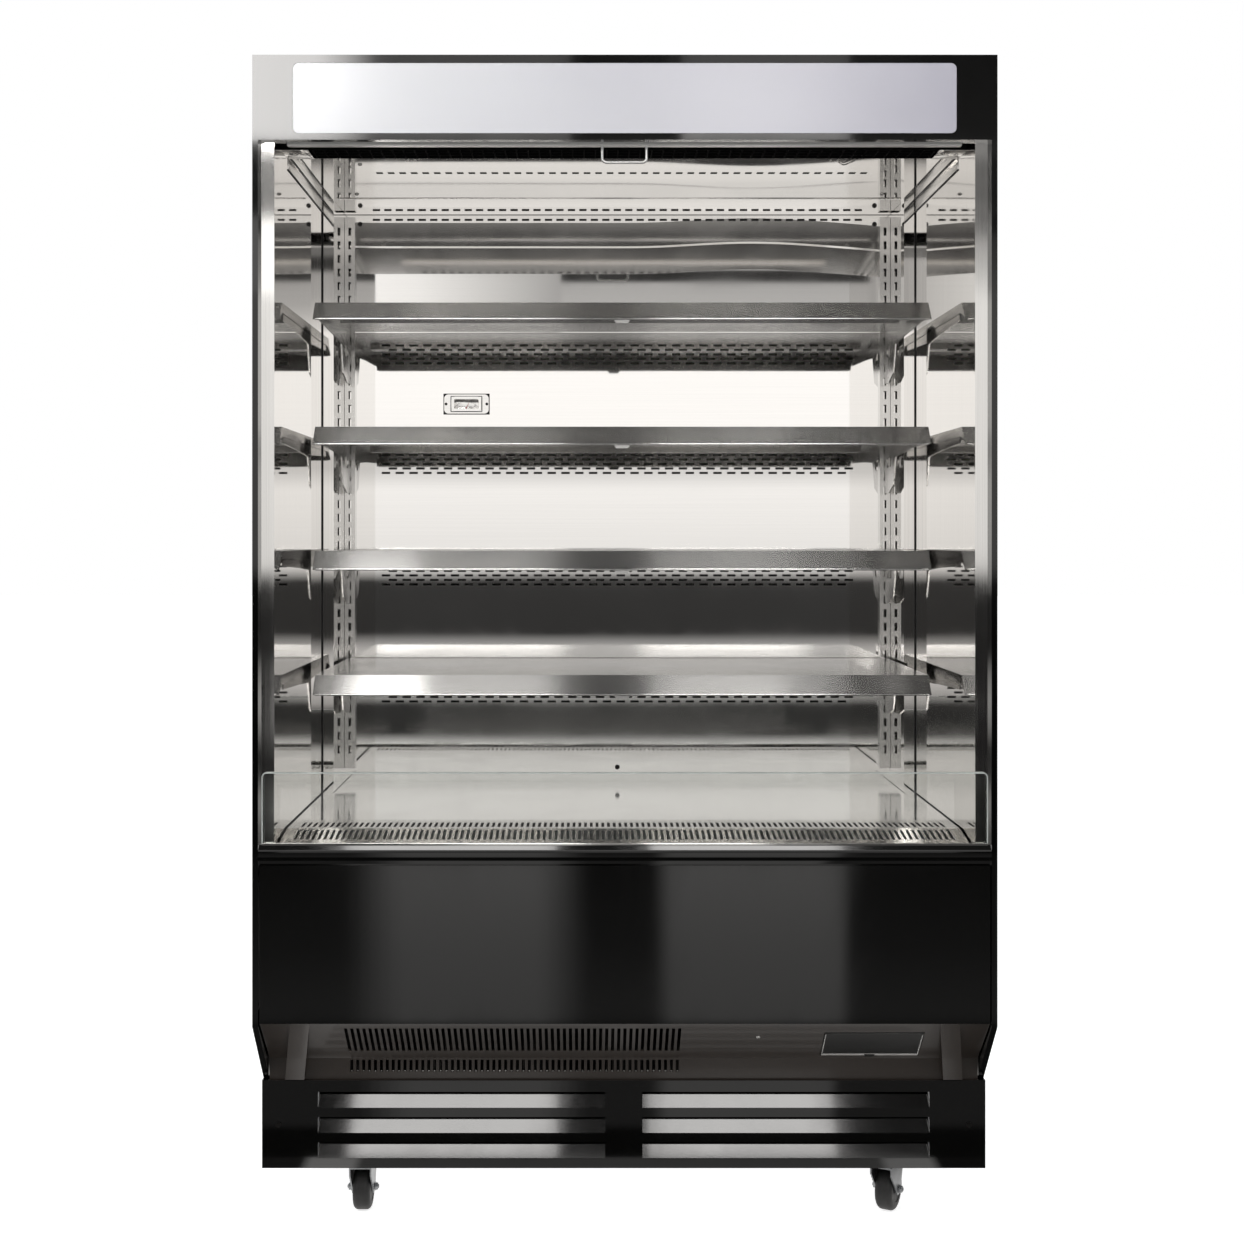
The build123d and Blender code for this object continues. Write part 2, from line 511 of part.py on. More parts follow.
# ---------------------------------------------------------------- lower front
GLASS_FRONT, GLASS_THICK, GLASS_HALF, GLASS_TOP, GLASS_FOOT, GLASS_CORNER = 4.8, 5.0, 624.5, 811.0, 676.0, 8.0
GLASS_PLAY = 0.2
RAIL_TUCK, RAIL_NOSE, RAIL_BEND, RAIL_BROW = 5.0, 674.0, (0.9, 679.0), 4.0


def glass_guard():
    """Clear glass kept upright along the front of the deck."""
    outline = Pos(0, (GLASS_TOP + GLASS_FOOT) / 2) * Rectangle(2 * GLASS_HALF, GLASS_TOP - GLASS_FOOT)
    outline = fillet(outline.vertices().group_by(Axis.Y)[-1], GLASS_CORNER)
    return front_plane(GLASS_FRONT) * extrude(outline, amount=-GLASS_THICK)


def bumper_rail():
    """Convex front rail with a leaning upper face and the groove that holds the glass."""
    rear, brow = FRONT + WALL_FRONT - GLASS_PLAY, FRONT + RAIL_BROW
    nose, chin = (FRONT, RAIL_NOSE), (FRONT + RAIL_TUCK, RAIL_BOTTOM)
    bend = (FRONT + RAIL_BEND[0], RAIL_BEND[1])
    belly = TangentArc(nose, chin, tangent=(0, -1))
    shoulder = TangentArc(nose, bend, tangent=(0, 1))
    rest = Polyline(bend, (brow, RAIL_TOP), (rear, RAIL_TOP), (rear, RAIL_BOTTOM), chin)
    plane = Plane(origin=(-WALL_OUTER, 0, 0), x_dir=(0, 1, 0), z_dir=(1, 0, 0))
    rail = plane * extrude(make_face(belly + shoulder + rest), amount=2 * WALL_OUTER)
    near, far = GLASS_FRONT - GLASS_PLAY, GLASS_FRONT + GLASS_THICK + GLASS_PLAY
    return rail - slab(-WALL_OUTER, WALL_OUTER, near, far, GLASS_FOOT, RAIL_TOP)


PANEL_HALF, PANEL_FACE, PANEL_BACK = 628.0, 2.0, 16.0


def lower_front_panel():
    """Glossy folded panel in front of the tub."""
    panel = slab(-PANEL_HALF, PANEL_HALF, PANEL_FACE, PANEL_BACK, PANEL_BOTTOM, RAIL_BOTTOM)
    inner = PANEL_HALF - SHEET
    return panel - slab(-inner, inner, PANEL_FACE + SHEET, PANEL_BACK,
                        PANEL_BOTTOM + SHEET, RAIL_BOTTOM - SHEET)


INTAKE_LEFT, INTAKE_RIGHT, INTAKE_PITCH, INTAKE_SLOT = -483.0, 96.0, 10.5, 5.5
INTAKE_START, INTAKE_LONG = 17.0, 79.0
KICK_SLOT_HIGH, KICK_SLOT_LOW = 289.5, 268.5
WINDOW_LEFT, WINDOW_RIGHT, WINDOW_START, WINDOW_LONG = 347.0, 521.0, 30.0, 82.0
STAY_TOP, STAY_FOOT, STAY_WIDE = (5.0, 380.0), (80.0, 257.0), 34.0
STAY_TOP_X, STAY_FOOT_X, STAY_TONGUE, STAY_LAP = 560.0, 582.0, 10.0, 3.0


def intake_columns():
    """Positions of the air slots across the undercut."""
    count = int((INTAKE_RIGHT - INTAKE_LEFT) / INTAKE_PITCH) + 1
    return evenly(count, INTAKE_PITCH, (INTAKE_LEFT + INTAKE_RIGHT) / 2)


def undercut_stay():
    """Flat stay in front of the undercut, from the foot of the front panel to the foot of the kick strip."""
    (d0, z0), (d1, z1), half = STAY_TOP, STAY_FOOT, STAY_WIDE / 2
    fall = Vector(0, d1 - d0, z1 - z0)
    plane = Plane(origin=(0, FRONT + d0, z0), x_dir=(1, 0, 0), z_dir=fall.cross(Vector(1, 0, 0)))
    outline = Polyline((STAY_TOP_X - half, -STAY_LAP), (STAY_TOP_X + half, -STAY_LAP),
                       (STAY_FOOT_X + half, -fall.length), (STAY_FOOT_X - half, -fall.length), close=True)
    stay = plane * extrude(make_face(outline), amount=-SHEET)
    return stay + slab(STAY_FOOT_X - half, STAY_FOOT_X + half, d1, d1 + STAY_TONGUE, z1, z1 + SHEET)


def undercut_panel():
    """Folded panel that slopes back under the front, with air slots, a window and two end stays."""
    t, inwards = SHEET, -at_slope(0, 0).z_dir
    lap, rise = t / inwards.Y, t * (1 - inwards.Y) / inwards.Z
    body = profile([SLOPE_TOP, SLOPE_FOOT, (SLOPE_FOOT[0], KICK_BOTTOM), (SLOPE_FOOT[0] + t, KICK_BOTTOM),
                    (SLOPE_FOOT[0] + t, SLOPE_FOOT[1] + rise), (SLOPE_TOP[0] + lap, SLOPE_TOP[1])],
                   -PANEL_HALF, PANEL_HALF)
    body = body + undercut_stay() + mirrored(undercut_stay())
    cutters = []
    for x in intake_columns():
        cutters.append(at_slope(x, INTAKE_START + INTAKE_LONG / 2) * Box(INTAKE_SLOT, INTAKE_LONG, 3 * t))
        cutters.append(slab(x - INTAKE_SLOT / 2, x + INTAKE_SLOT / 2, SLOPE_FOOT[0], SLOPE_FOOT[0] + t,
                            KICK_SLOT_LOW, KICK_SLOT_HIGH))
    middle = (WINDOW_LEFT + WINDOW_RIGHT) / 2
    cutters.append(at_slope(middle, WINDOW_START + WINDOW_LONG / 2)
                   * Box(WINDOW_RIGHT - WINDOW_LEFT, WINDOW_LONG, 3 * t))
    return body - cutters


FLAP_THICK, FLAP_GAP, FLAP_PIN_R = 3.0, 1.0, 1.5
FLAP_KNUCKLE = 2.6
TAB_WIDE, TAB_LONG = 18.0, 5.0


def flap_axis():
    """Hinge line of the controller flap: distance down the slope and out from it."""
    return WINDOW_START + FLAP_KNUCKLE + FLAP_GAP, -FLAP_THICK / 2


def controller_flap():
    """Dark flap over the controller, hinged along its top edge, with a finger tab at its foot."""
    along, out = flap_axis()
    wide = WINDOW_RIGHT - WINDOW_LEFT - 2 * FLAP_GAP
    middle = (WINDOW_LEFT + WINDOW_RIGHT) / 2
    foot = WINDOW_START + WINDOW_LONG - FLAP_GAP
    plate = at_slope(middle, (along + foot) / 2, out) * Box(wide, foot - along, FLAP_THICK)
    knuckle = at_slope(middle, along, out) * (Rot(0, 90, 0) * Cylinder(FLAP_KNUCKLE, wide))
    tab = at_slope(middle, foot - TAB_LONG / 2, FLAP_THICK / 2) * Box(TAB_WIDE, TAB_LONG, FLAP_THICK)
    bore = at_slope(middle, along, out) * (Rot(0, 90, 0) * Cylinder(FLAP_PIN_R + RUNNING, wide))
    return plate + knuckle + tab - bore


CONTROL_DEEP, CONTROL_RIM = 34.0, 12.0


def controller_box():
    """Box of the temperature controller behind the window, with the flap's hinge pin."""
    middle = (WINDOW_LEFT + WINDOW_RIGHT) / 2
    wide, long = WINDOW_RIGHT - WINDOW_LEFT + 2 * CONTROL_RIM, WINDOW_LONG + 2 * SHEET
    centre = WINDOW_START + WINDOW_LONG / 2
    behind = -SHEET - RUNNING - CONTROL_DEEP / 2
    box = at_slope(middle, centre, behind) * Box(wide, long, CONTROL_DEEP)
    pocket = WINDOW_RIGHT - WINDOW_LEFT
    box -= at_slope(middle, centre, -SHEET - CONTROL_RIM / 2) * Box(pocket, long - 2 * SHEET, CONTROL_RIM)
    along, out = flap_axis()
    box += at_slope(middle, along, out) * (Rot(0, 90, 0) * Cylinder(FLAP_PIN_R, pocket))
    return box


# ---------------------------------------------------------------- plinth and base
PLINTH_HALF = 621.0
LOUVRE_BOTTOMS = (118.0, 162.5, 207.0)
LOUVRE_HIGH, LOUVRE_NEAR, LOUVRE_FAR, BLADE_LEAN = 28.0, 33.0, 541.0, 15.0
PLINTH_SCREW_X, PLINTH_SCREW_Z = 611.0, 177.0
SCREW_R, SCREW_HEAD_R, SCREW_HEAD = 2.0, 5.0, 2.0


def plinth_grille():
    """Front grille of the machine space: three louvres either side, each blade leaning back as it rises."""
    back = PLINTH_FRONT + SHEET
    plate = slab(-PLINTH_HALF, PLINTH_HALF, PLINTH_FRONT, back, BASE_Z, PLINTH_TOP)
    for side in (-1, 1):
        x0, x1 = sorted((side * LOUVRE_NEAR, side * LOUVRE_FAR))
        for z in LOUVRE_BOTTOMS:
            plate -= slab(x0, x1, PLINTH_FRONT, back, z, z + LOUVRE_HIGH)
            plate += profile([(back - SHEET, z - SHEET), (back, z - SHEET),
                              (back + BLADE_LEAN, z + LOUVRE_HIGH),
                              (back + BLADE_LEAN - SHEET, z + LOUVRE_HIGH), (back - SHEET, z)], x0, x1)
        plate -= rod(SCREW_R + RUNNING, (side * PLINTH_SCREW_X, PLINTH_FRONT, PLINTH_SCREW_Z),
                     (side * PLINTH_SCREW_X, back, PLINTH_SCREW_Z))
    return plate


def plinth_side():
    """Side cover of the base, folded round to meet the front grille."""
    outer, inner = WIDTH / 2, WIDTH / 2 - SHEET
    back = PLINTH_FRONT + SHEET
    return plan([(PLINTH_HALF, PLINTH_FRONT), (outer, PLINTH_FRONT), (outer, BACK_SKIN), (inner, BACK_SKIN),
                 (inner, back), (PLINTH_HALF, back)], BASE_Z, SIDE_PANEL_BOTTOM)


BASE_HALF, BASE_FRONT = 636.0, 86.0


def base_pan():
    """Thick floor pan that carries the side walls, the machine and the casters."""
    return slab(-BASE_HALF, BASE_HALF, BASE_FRONT, BACK_SKIN, BASE_Z, BASE_Z + PAN_SHEET)


DUCT_SCREWS = ((-549.0, 1885.0), (549.0, 1885.0), (0.0, 726.0))


def screws():
    """Round-headed screws that show: two on the plinth, three on the back panel."""
    heads = []
    for side in (-1, 1):
        x, z = side * PLINTH_SCREW_X, PLINTH_SCREW_Z
        heads.append(rod(SCREW_HEAD_R, (x, PLINTH_FRONT - SCREW_HEAD, z), (x, PLINTH_FRONT, z))
                     + rod(SCREW_R, (x, PLINTH_FRONT, z), (x, BASE_FRONT + SHEET, z)))
    for x, z in DUCT_SCREWS:
        heads.append(rod(SCREW_HEAD_R, (x, DUCT_PANEL - SCREW_HEAD, z), (x, DUCT_PANEL, z)))
    return group(heads)


# ---------------------------------------------------------------- machine
CONDENSER_LEFT, CONDENSER_RIGHT, CONDENSER_FRONT, CONDENSER_DEEP = -490.0, 104.0, 118.0, 56.0
CONDENSER_LOW, CONDENSER_TOP = BASE_Z + PAN_SHEET, 372.0
FIN_PITCH, FIN_GAP, FIN_CUT = 10.0, 6.0, 14.0


def finned_block(x0, x1, d0, d1, z0, z1):
    """Fin-and-tube coil as a block with fin gaps cut into its front and back faces."""
    block = slab(x0, x1, d0, d1, z0, z1)
    margin = 2 * FIN_PITCH
    count = int((x1 - x0 - 2 * margin) / FIN_PITCH)
    gaps = []
    for x in evenly(count, FIN_PITCH, (x0 + x1) / 2):
        for near, far in ((d0, d0 + FIN_CUT), (d1 - FIN_CUT, d1)):
            gaps.append(slab(x - FIN_GAP / 2, x + FIN_GAP / 2, near, far, z0 + margin, z1 - margin))
    return block - gaps


def condenser_coil():
    """Condenser coil standing on the floor pan behind the air slots."""
    return finned_block(CONDENSER_LEFT, CONDENSER_RIGHT, CONDENSER_FRONT, CONDENSER_FRONT + CONDENSER_DEEP,
                        CONDENSER_LOW, CONDENSER_TOP)


CONDENSER_FAN = (-190.0, 240.0)
FAN_PLATE_BACK, FAN_HOLE_R = 204.0, 100.0
MOTOR_R, MOTOR_LONG, MOTOR_OFF, ARM, SHAFT_R = 30.0, 50.0, 12.0, 8.0, 4.0


def fan_motor(x, z, plate_depth, hole_r, away):
    """Fan motor on three arms that reach past a round opening; away is the side of the plate it is on."""
    near, far = plate_depth + away * MOTOR_OFF, plate_depth + away * (MOTOR_OFF + MOTOR_LONG)
    motor = rod(MOTOR_R, (x, near, z), (x, far, z))
    motor += rod(SHAFT_R, (x, plate_depth - away * MOTOR_OFF, z), (x, near, z))
    for turn in (90, 210, 330):
        arm = slab(-ARM / 2, ARM / 2, 0, ARM, MOTOR_R - SHEET, hole_r + 2 * ARM)
        foot = slab(-ARM / 2, ARM / 2, ARM, MOTOR_OFF + ARM, hole_r + ARM / 2, hole_r + 2 * ARM)
        leg = Pos(0, -FRONT, 0) * (arm + foot)
        if away > 0:
            leg = mirror(leg, about=Plane.XZ)
        leg = Rot(0, turn, 0) * leg
        motor += Pos(x, FRONT + plate_depth + away * (MOTOR_OFF + ARM), z) * leg
    return motor


def condenser_fan_plate():
    """Upright plate behind the condenser with the fan opening and its motor."""
    plate = slab(CONDENSER_LEFT, CONDENSER_RIGHT, FAN_PLATE_BACK - SHEET, FAN_PLATE_BACK,
                 CONDENSER_LOW, CONDENSER_TOP)
    x, z = CONDENSER_FAN
    plate -= rod(FAN_HOLE_R, (x, FAN_PLATE_BACK - SHEET, z), (x, FAN_PLATE_BACK, z))
    return plate + fan_motor(x, z, FAN_PLATE_BACK, FAN_HOLE_R, 1)


FAN_HUB_R, FAN_HUB_LONG, BLADE_COUNT, BLADE_THICK, BLADE_PITCH = 24.0, 16.0, 5, 2.0, 28.0


def fan(x, z, depth, radius):
    """Axial fan with pitched blades round a bored hub, on a front-to-back axis."""
    hub = rod(FAN_HUB_R, (x, depth - FAN_HUB_LONG / 2, z), (x, depth + FAN_HUB_LONG / 2, z))
    span = radius - FAN_HUB_R
    blade = Rot(0, 0, BLADE_PITCH) * Box(span / 2, BLADE_THICK, span)
    blade = Pos(0, 0, FAN_HUB_R - SHEET + span / 2) * blade
    for i in range(BLADE_COUNT):
        hub += Pos(x, FRONT + depth, z) * Rot(0, i * 360 / BLADE_COUNT, 0) * blade
    return hub - rod(SHAFT_R + RUNNING, (x, depth - FAN_HUB_LONG, z), (x, depth + FAN_HUB_LONG, z))


CONDENSER_FAN_DEPTH, CONDENSER_FAN_R = FAN_PLATE_BACK - SHEET, 88.0
EVAP_FAN_X, EVAP_FAN_Z, EVAP_PLATE, EVAP_HOLE_R, EVAP_FAN_R = 270.0, 562.0, 240.0, 88.0, 78.0
EVAP_PLATE_HALF = 574.0


def evaporator_fan_deck():
    """Upright plate across the tub with two fan openings and their motors."""
    plate = slab(-EVAP_PLATE_HALF, EVAP_PLATE_HALF, EVAP_PLATE, EVAP_PLATE + SHEET, TUB_FLOOR, TUB_RIM)
    for x in (-EVAP_FAN_X, EVAP_FAN_X):
        plate -= rod(EVAP_HOLE_R, (x, EVAP_PLATE, EVAP_FAN_Z), (x, EVAP_PLATE + SHEET, EVAP_FAN_Z))
        plate += fan_motor(x, EVAP_FAN_Z, EVAP_PLATE, EVAP_HOLE_R, -1)
    return plate


EVAP_HALF, EVAP_FRONT, EVAP_BACK, EVAP_TOP = 540.0, 330.0, 560.0, 650.0


def evaporator_coil():
    """Evaporator coil lying in the tub under the deck."""
    return finned_block(-EVAP_HALF, EVAP_HALF, EVAP_FRONT, EVAP_BACK, TUB_FLOOR, EVAP_TOP)


COMPRESSOR_X, COMPRESSOR_DEPTH, COMPRESSOR_R, COMPRESSOR_TALL, FOOT_TALL = 270.0, 400.0, 78.0, 150.0, 16.0


def compressor():
    """Hermetic compressor: domed can on a foot plate with four rubber feet and a discharge stub."""
    x, d, z0 = COMPRESSOR_X, COMPRESSOR_DEPTH, BASE_Z + PAN_SHEET
    can_z, half = z0 + FOOT_TALL, COMPRESSOR_R
    body = rod(COMPRESSOR_R, (x, d, can_z), (x, d, can_z + COMPRESSOR_TALL))
    body = fillet(body.edges().sort_by(Axis.Z)[-1], COMPRESSOR_R / 2)
    body += slab(x - half, x + half, d - half, d + half, can_z, can_z + PAN_SHEET)
    for dx in (-1, 1):
        for dd in (-1, 1):
            px, pd = x + dx * (half - ARM), d + dd * (half - ARM)
            body += rod(ARM, (px, pd, z0), (px, pd, can_z))
    stub_z = can_z + COMPRESSOR_TALL / 2
    return body + rod(SHAFT_R, (x - half / 2, d, stub_z), (x - half - 3 * ARM, d, stub_z))


TRAY_LEFT, TRAY_RIGHT, TRAY_FRONT, TRAY_BACK, TRAY_TALL = -120.0, 200.0, 610.0, 770.0, 55.0


def drip_tray():
    """Open pan under the drain that lets the defrost water evaporate."""
    z0 = BASE_Z + PAN_SHEET
    pan = slab(TRAY_LEFT, TRAY_RIGHT, TRAY_FRONT, TRAY_BACK, z0, z0 + TRAY_TALL)
    return pan - slab(TRAY_LEFT + SHEET, TRAY_RIGHT - SHEET, TRAY_FRONT + SHEET, TRAY_BACK - SHEET,
                      z0 + SHEET, z0 + TRAY_TALL)


# ---------------------------------------------------------------- casters
CASTERS = {"front_left": (-CASTER_X, CASTER_FRONT, 90.0), "front_right": (CASTER_X, CASTER_FRONT, 63.0),
           "rear_left": (-CASTER_X, CASTER_REAR, 84.0), "rear_right": (CASTER_X, CASTER_REAR, 97.0)}
PLATE_HALF, PLATE_THICK, RACE_R, RACE_Z, CROWN_Z, CROWN_THICK = 32.0, 4.0, 18.0, 92.0, 91.8, 3.8
PIN_HEAD_R, PIN_HEAD = 9.0, 5.0


def caster_plates():
    """Top plates of the four casters, each with its swivel race and headed kingpin."""
    plates = []
    for x, d, _ in CASTERS.values():
        low = BASE_Z - PLATE_THICK
        plate = slab(x - PLATE_HALF, x + PLATE_HALF, d - PLATE_HALF, d + PLATE_HALF, low, BASE_Z)
        plate += rod(RACE_R, (x, d, RACE_Z), (x, d, low))
        foot = CROWN_Z - CROWN_THICK - RUNNING
        plate += rod(KINGPIN_R, (x, d, foot), (x, d, RACE_Z))
        plates.append(plate + rod(PIN_HEAD_R, (x, d, foot - PIN_HEAD), (x, d, foot)))
    return group(plates)


def caster_place(name, shape):
    """Put a caster piece, drawn with its trail along +X under the kingpin, at its corner and swivel angle."""
    x, d, turn = CASTERS[name]
    return Pos(x, FRONT + d, 0) * Rot(0, 0, turn) * shape


LEG_THICK, LEG_INNER, LEG_LOW = 2.5, 17.5, 30.0
CROWN_AHEAD, CROWN_REAR, LEG_SHOULDER, LEG_TOE = 22.0, TRAIL + 26.0, 12.0, 9.0
PEDAL_TRAIL, PEDAL_Z, PEDAL_PIN_R = TRAIL + 20.0, 81.0, 2.5
PEDAL_LONG, PEDAL_HALF, PEDAL_THICK = 40.0, 13.5, 4.0


def caster_fork(braked):
    """Swivel fork with its axle, and the pedal pin on a braked one."""
    shoulder, middle = CROWN_Z - CROWN_THICK - LEG_SHOULDER, (CROWN_REAR - CROWN_AHEAD) / 2
    wide = 2 * (LEG_INNER + LEG_THICK)
    crown = Box(CROWN_REAR + CROWN_AHEAD, wide, CROWN_THICK)
    fork = Pos(middle, 0, CROWN_Z - CROWN_THICK / 2) * crown
    for side in (-1, 1):
        outline = Polyline((-CROWN_AHEAD, CROWN_Z), (CROWN_REAR, CROWN_Z), (CROWN_REAR, shoulder),
                           (TRAIL + LEG_TOE, LEG_LOW), (TRAIL - LEG_TOE, LEG_LOW),
                           (-CROWN_AHEAD, shoulder), close=True)
        plane = Plane(origin=(0, side * LEG_INNER, 0), x_dir=(1, 0, 0), z_dir=(0, -1, 0))
        fork += plane * extrude(make_face(outline), amount=-side * LEG_THICK)
    lying = Rot(90, 0, 0)
    fork += Pos(TRAIL, 0, WHEEL_R) * lying * Cylinder(AXLE_R, wide + 2 * SHEET)
    if braked:
        fork += Pos(PEDAL_TRAIL, 0, PEDAL_Z) * lying * Cylinder(PEDAL_PIN_R, 2 * LEG_INNER)
    return fork - Pos(0, 0, CROWN_Z) * Cylinder(KINGPIN_R + RUNNING, 4 * CROWN_THICK)


HUB_R, HUB_HALF, TREAD_ROUND = 24.0, 15.0, 9.0


def caster_wheel():
    """Hard hub in a rounded tyre, free on the fork's axle."""
    tyre = Cylinder(WHEEL_R, WHEEL_WIDTH)
    tyre = fillet(tyre.edges(), TREAD_ROUND)
    tyre -= Cylinder(HUB_R, WHEEL_WIDTH)
    hub = Cylinder(HUB_R, 2 * HUB_HALF) - Cylinder(AXLE_R + RUNNING, 2 * HUB_HALF)
    place = Pos(TRAIL, 0, WHEEL_R) * Rot(90, 0, 0)
    return group([place * tyre, place * hub])


def caster_pedal():
    """Brake pedal hinged on the fork's cross pin behind the wheel."""
    knuckle = PEDAL_PIN_R + SHEET
    lying = Pos(PEDAL_TRAIL, 0, PEDAL_Z) * Rot(90, 0, 0)
    pedal = lying * Cylinder(knuckle, 2 * PEDAL_HALF)
    pedal += Pos(PEDAL_TRAIL + PEDAL_LONG / 2, 0, PEDAL_Z) * Box(PEDAL_LONG, 2 * PEDAL_HALF, PEDAL_THICK)
    return pedal - lying * Cylinder(PEDAL_PIN_R + RUNNING, 2 * PEDAL_HALF)


# ---------------------------------------------------------------- the whole part
def build_nodes():
    """Every separate piece under its own name."""
    nodes = {
        "side_panel_left": mirrored(side_panel()), "side_panel_right": side_panel(),
        "side_wall_left": mirrored(side_wall()), "side_wall_right": side_wall(),
        "side_edge_trims": both_sides(edge_trim()), "corner_posts": both_sides(corner_post()),
        "back_panel": back_panel(), "cord_gland": cord_gland(),
        "foam_body": foam_body(), "top_panel": top_panel(),
        "header_box": header_box(), "sign_lens": sign_lens(), "sign_light_bars": sign_light_bars(),
        "curtain_cassette": curtain_cassette(), "curtain_roller": curtain_roller(),
        "curtain_sheet": curtain_sheet(), "curtain_bar": curtain_bar(),
        "back_duct_panel": back_duct_panel(), "ceiling_panel": ceiling_panel(),
        "ceiling_duct_cover": ceiling_duct_cover(), "air_honeycomb": air_honeycomb(),
        "shelf_uprights": both_sides(shelf_upright()), "shelf_brackets": shelf_brackets(),
        "deck_pan": deck_pan(), "return_air_grille": return_air_grille(), "thermometer": thermometer(),
        "glass_guard": glass_guard(), "bumper_rail": bumper_rail(), "lower_front_panel": lower_front_panel(),
        "undercut_panel": undercut_panel(), "controller_box": controller_box(),
        "controller_flap": controller_flap(),
        "plinth_grille": plinth_grille(), "plinth_sides": both_sides(plinth_side()), "base_pan": base_pan(),
        "screws": screws(), "condenser_coil": condenser_coil(), "condenser_fan_plate": condenser_fan_plate(),
        "condenser_fan": fan(*CONDENSER_FAN, CONDENSER_FAN_DEPTH, CONDENSER_FAN_R),
        "evaporator_coil": evaporator_coil(), "evaporator_fan_deck": evaporator_fan_deck(),
        "evaporator_fan_left": fan(-EVAP_FAN_X, EVAP_FAN_Z, EVAP_PLATE + SHEET, EVAP_FAN_R),
        "evaporator_fan_right": fan(EVAP_FAN_X, EVAP_FAN_Z, EVAP_PLATE + SHEET, EVAP_FAN_R),
        "compressor": compressor(), "drip_tray": drip_tray(), "caster_plates": caster_plates(),
    }
    for number, top in enumerate(shelf_heights(), start=1):
        nodes[f"shelf_tray_{number}"] = shelf_tray(top)
    for name in CASTERS:
        braked = name.startswith("front")
        nodes[f"caster_fork_{name}"] = caster_place(name, caster_fork(braked))
        nodes[f"caster_wheel_{name}"] = caster_place(name, caster_wheel())
        if braked:
            nodes[f"caster_pedal_{name}"] = caster_place(name, caster_pedal())
    return nodes


def main():
    """Write one STEP file per node."""
    os.makedirs("parts", exist_ok=True)
    for name, shape in build_nodes().items():
        export_step(shape, f"parts/{name}.step")


main()
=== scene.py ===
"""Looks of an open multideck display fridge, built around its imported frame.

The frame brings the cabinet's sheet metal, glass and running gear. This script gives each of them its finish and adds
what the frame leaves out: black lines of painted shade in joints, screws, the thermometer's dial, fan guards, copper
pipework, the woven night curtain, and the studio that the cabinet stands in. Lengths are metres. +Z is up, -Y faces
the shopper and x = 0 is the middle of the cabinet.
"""
from __future__ import annotations

import json
import logging
import math
from dataclasses import dataclass
from enum import Enum
from functools import cached_property, lru_cache
from typing import Iterable, Sequence

import bmesh
import bpy
from mathutils import Matrix, Vector

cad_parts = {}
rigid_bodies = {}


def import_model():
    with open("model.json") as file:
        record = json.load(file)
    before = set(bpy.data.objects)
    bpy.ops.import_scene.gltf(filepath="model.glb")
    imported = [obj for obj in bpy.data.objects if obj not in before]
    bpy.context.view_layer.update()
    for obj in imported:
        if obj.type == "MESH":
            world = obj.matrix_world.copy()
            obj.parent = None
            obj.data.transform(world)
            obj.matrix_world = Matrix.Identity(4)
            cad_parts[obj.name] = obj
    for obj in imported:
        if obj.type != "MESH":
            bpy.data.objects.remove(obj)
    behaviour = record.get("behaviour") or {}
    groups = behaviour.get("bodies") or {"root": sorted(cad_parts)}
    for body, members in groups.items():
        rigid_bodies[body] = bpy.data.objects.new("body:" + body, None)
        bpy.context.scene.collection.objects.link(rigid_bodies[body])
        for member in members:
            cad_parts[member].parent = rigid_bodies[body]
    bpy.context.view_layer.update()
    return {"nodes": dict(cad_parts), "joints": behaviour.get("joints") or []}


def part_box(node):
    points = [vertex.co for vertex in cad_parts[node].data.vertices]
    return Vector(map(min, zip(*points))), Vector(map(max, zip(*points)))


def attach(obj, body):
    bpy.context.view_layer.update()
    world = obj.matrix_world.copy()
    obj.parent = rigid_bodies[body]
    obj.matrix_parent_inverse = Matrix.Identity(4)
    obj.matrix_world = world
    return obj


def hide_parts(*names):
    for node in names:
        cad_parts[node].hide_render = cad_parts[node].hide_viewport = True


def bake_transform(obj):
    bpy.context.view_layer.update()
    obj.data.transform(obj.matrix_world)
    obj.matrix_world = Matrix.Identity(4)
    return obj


log = logging.getLogger("display_fridge")

for leftover in list(bpy.data.objects):
    bpy.data.objects.remove(leftover)

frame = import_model()

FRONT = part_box("header_box")[0].y          # the front plane of the cabinet
CABINET = "cabinet"                        # the body that everything fixed rides on
WHITE = (1.0, 1.0, 1.0)
SIDES = (("left", -1.0), ("right", 1.0))

Triple = tuple[float, float, float]
Corners = tuple[Triple, Triple, Triple, Triple]


# Radius and height of a domed screw head and of a lamp diode, as shares of their outer radius.
HEAD_PROFILE = ((1.0, 0.0), (1.0, 0.18), (0.86, 0.42), (0.55, 0.58), (0.34, 0.60), (0.30, 0.30), (0.08, 0.22))
DIODE_PROFILE = ((1.0, 0.0), (0.9, 0.35), (0.5, 0.6), (0.1, 0.7))


def behind(depth: float) -> float:
    """Returns the y of a point that lies depth metres behind the front plane."""
    return FRONT + depth


# ---------------------------------------------------------------------------------------------------------------
# Mesh forms


class Run(Enum):
    """The direction in which a sheet was ground or polished."""

    ACROSS = (2.0, 700.0, 700.0)
    INWARD = (700.0, 2.0, 700.0)
    UPWARD = (700.0, 700.0, 2.0)


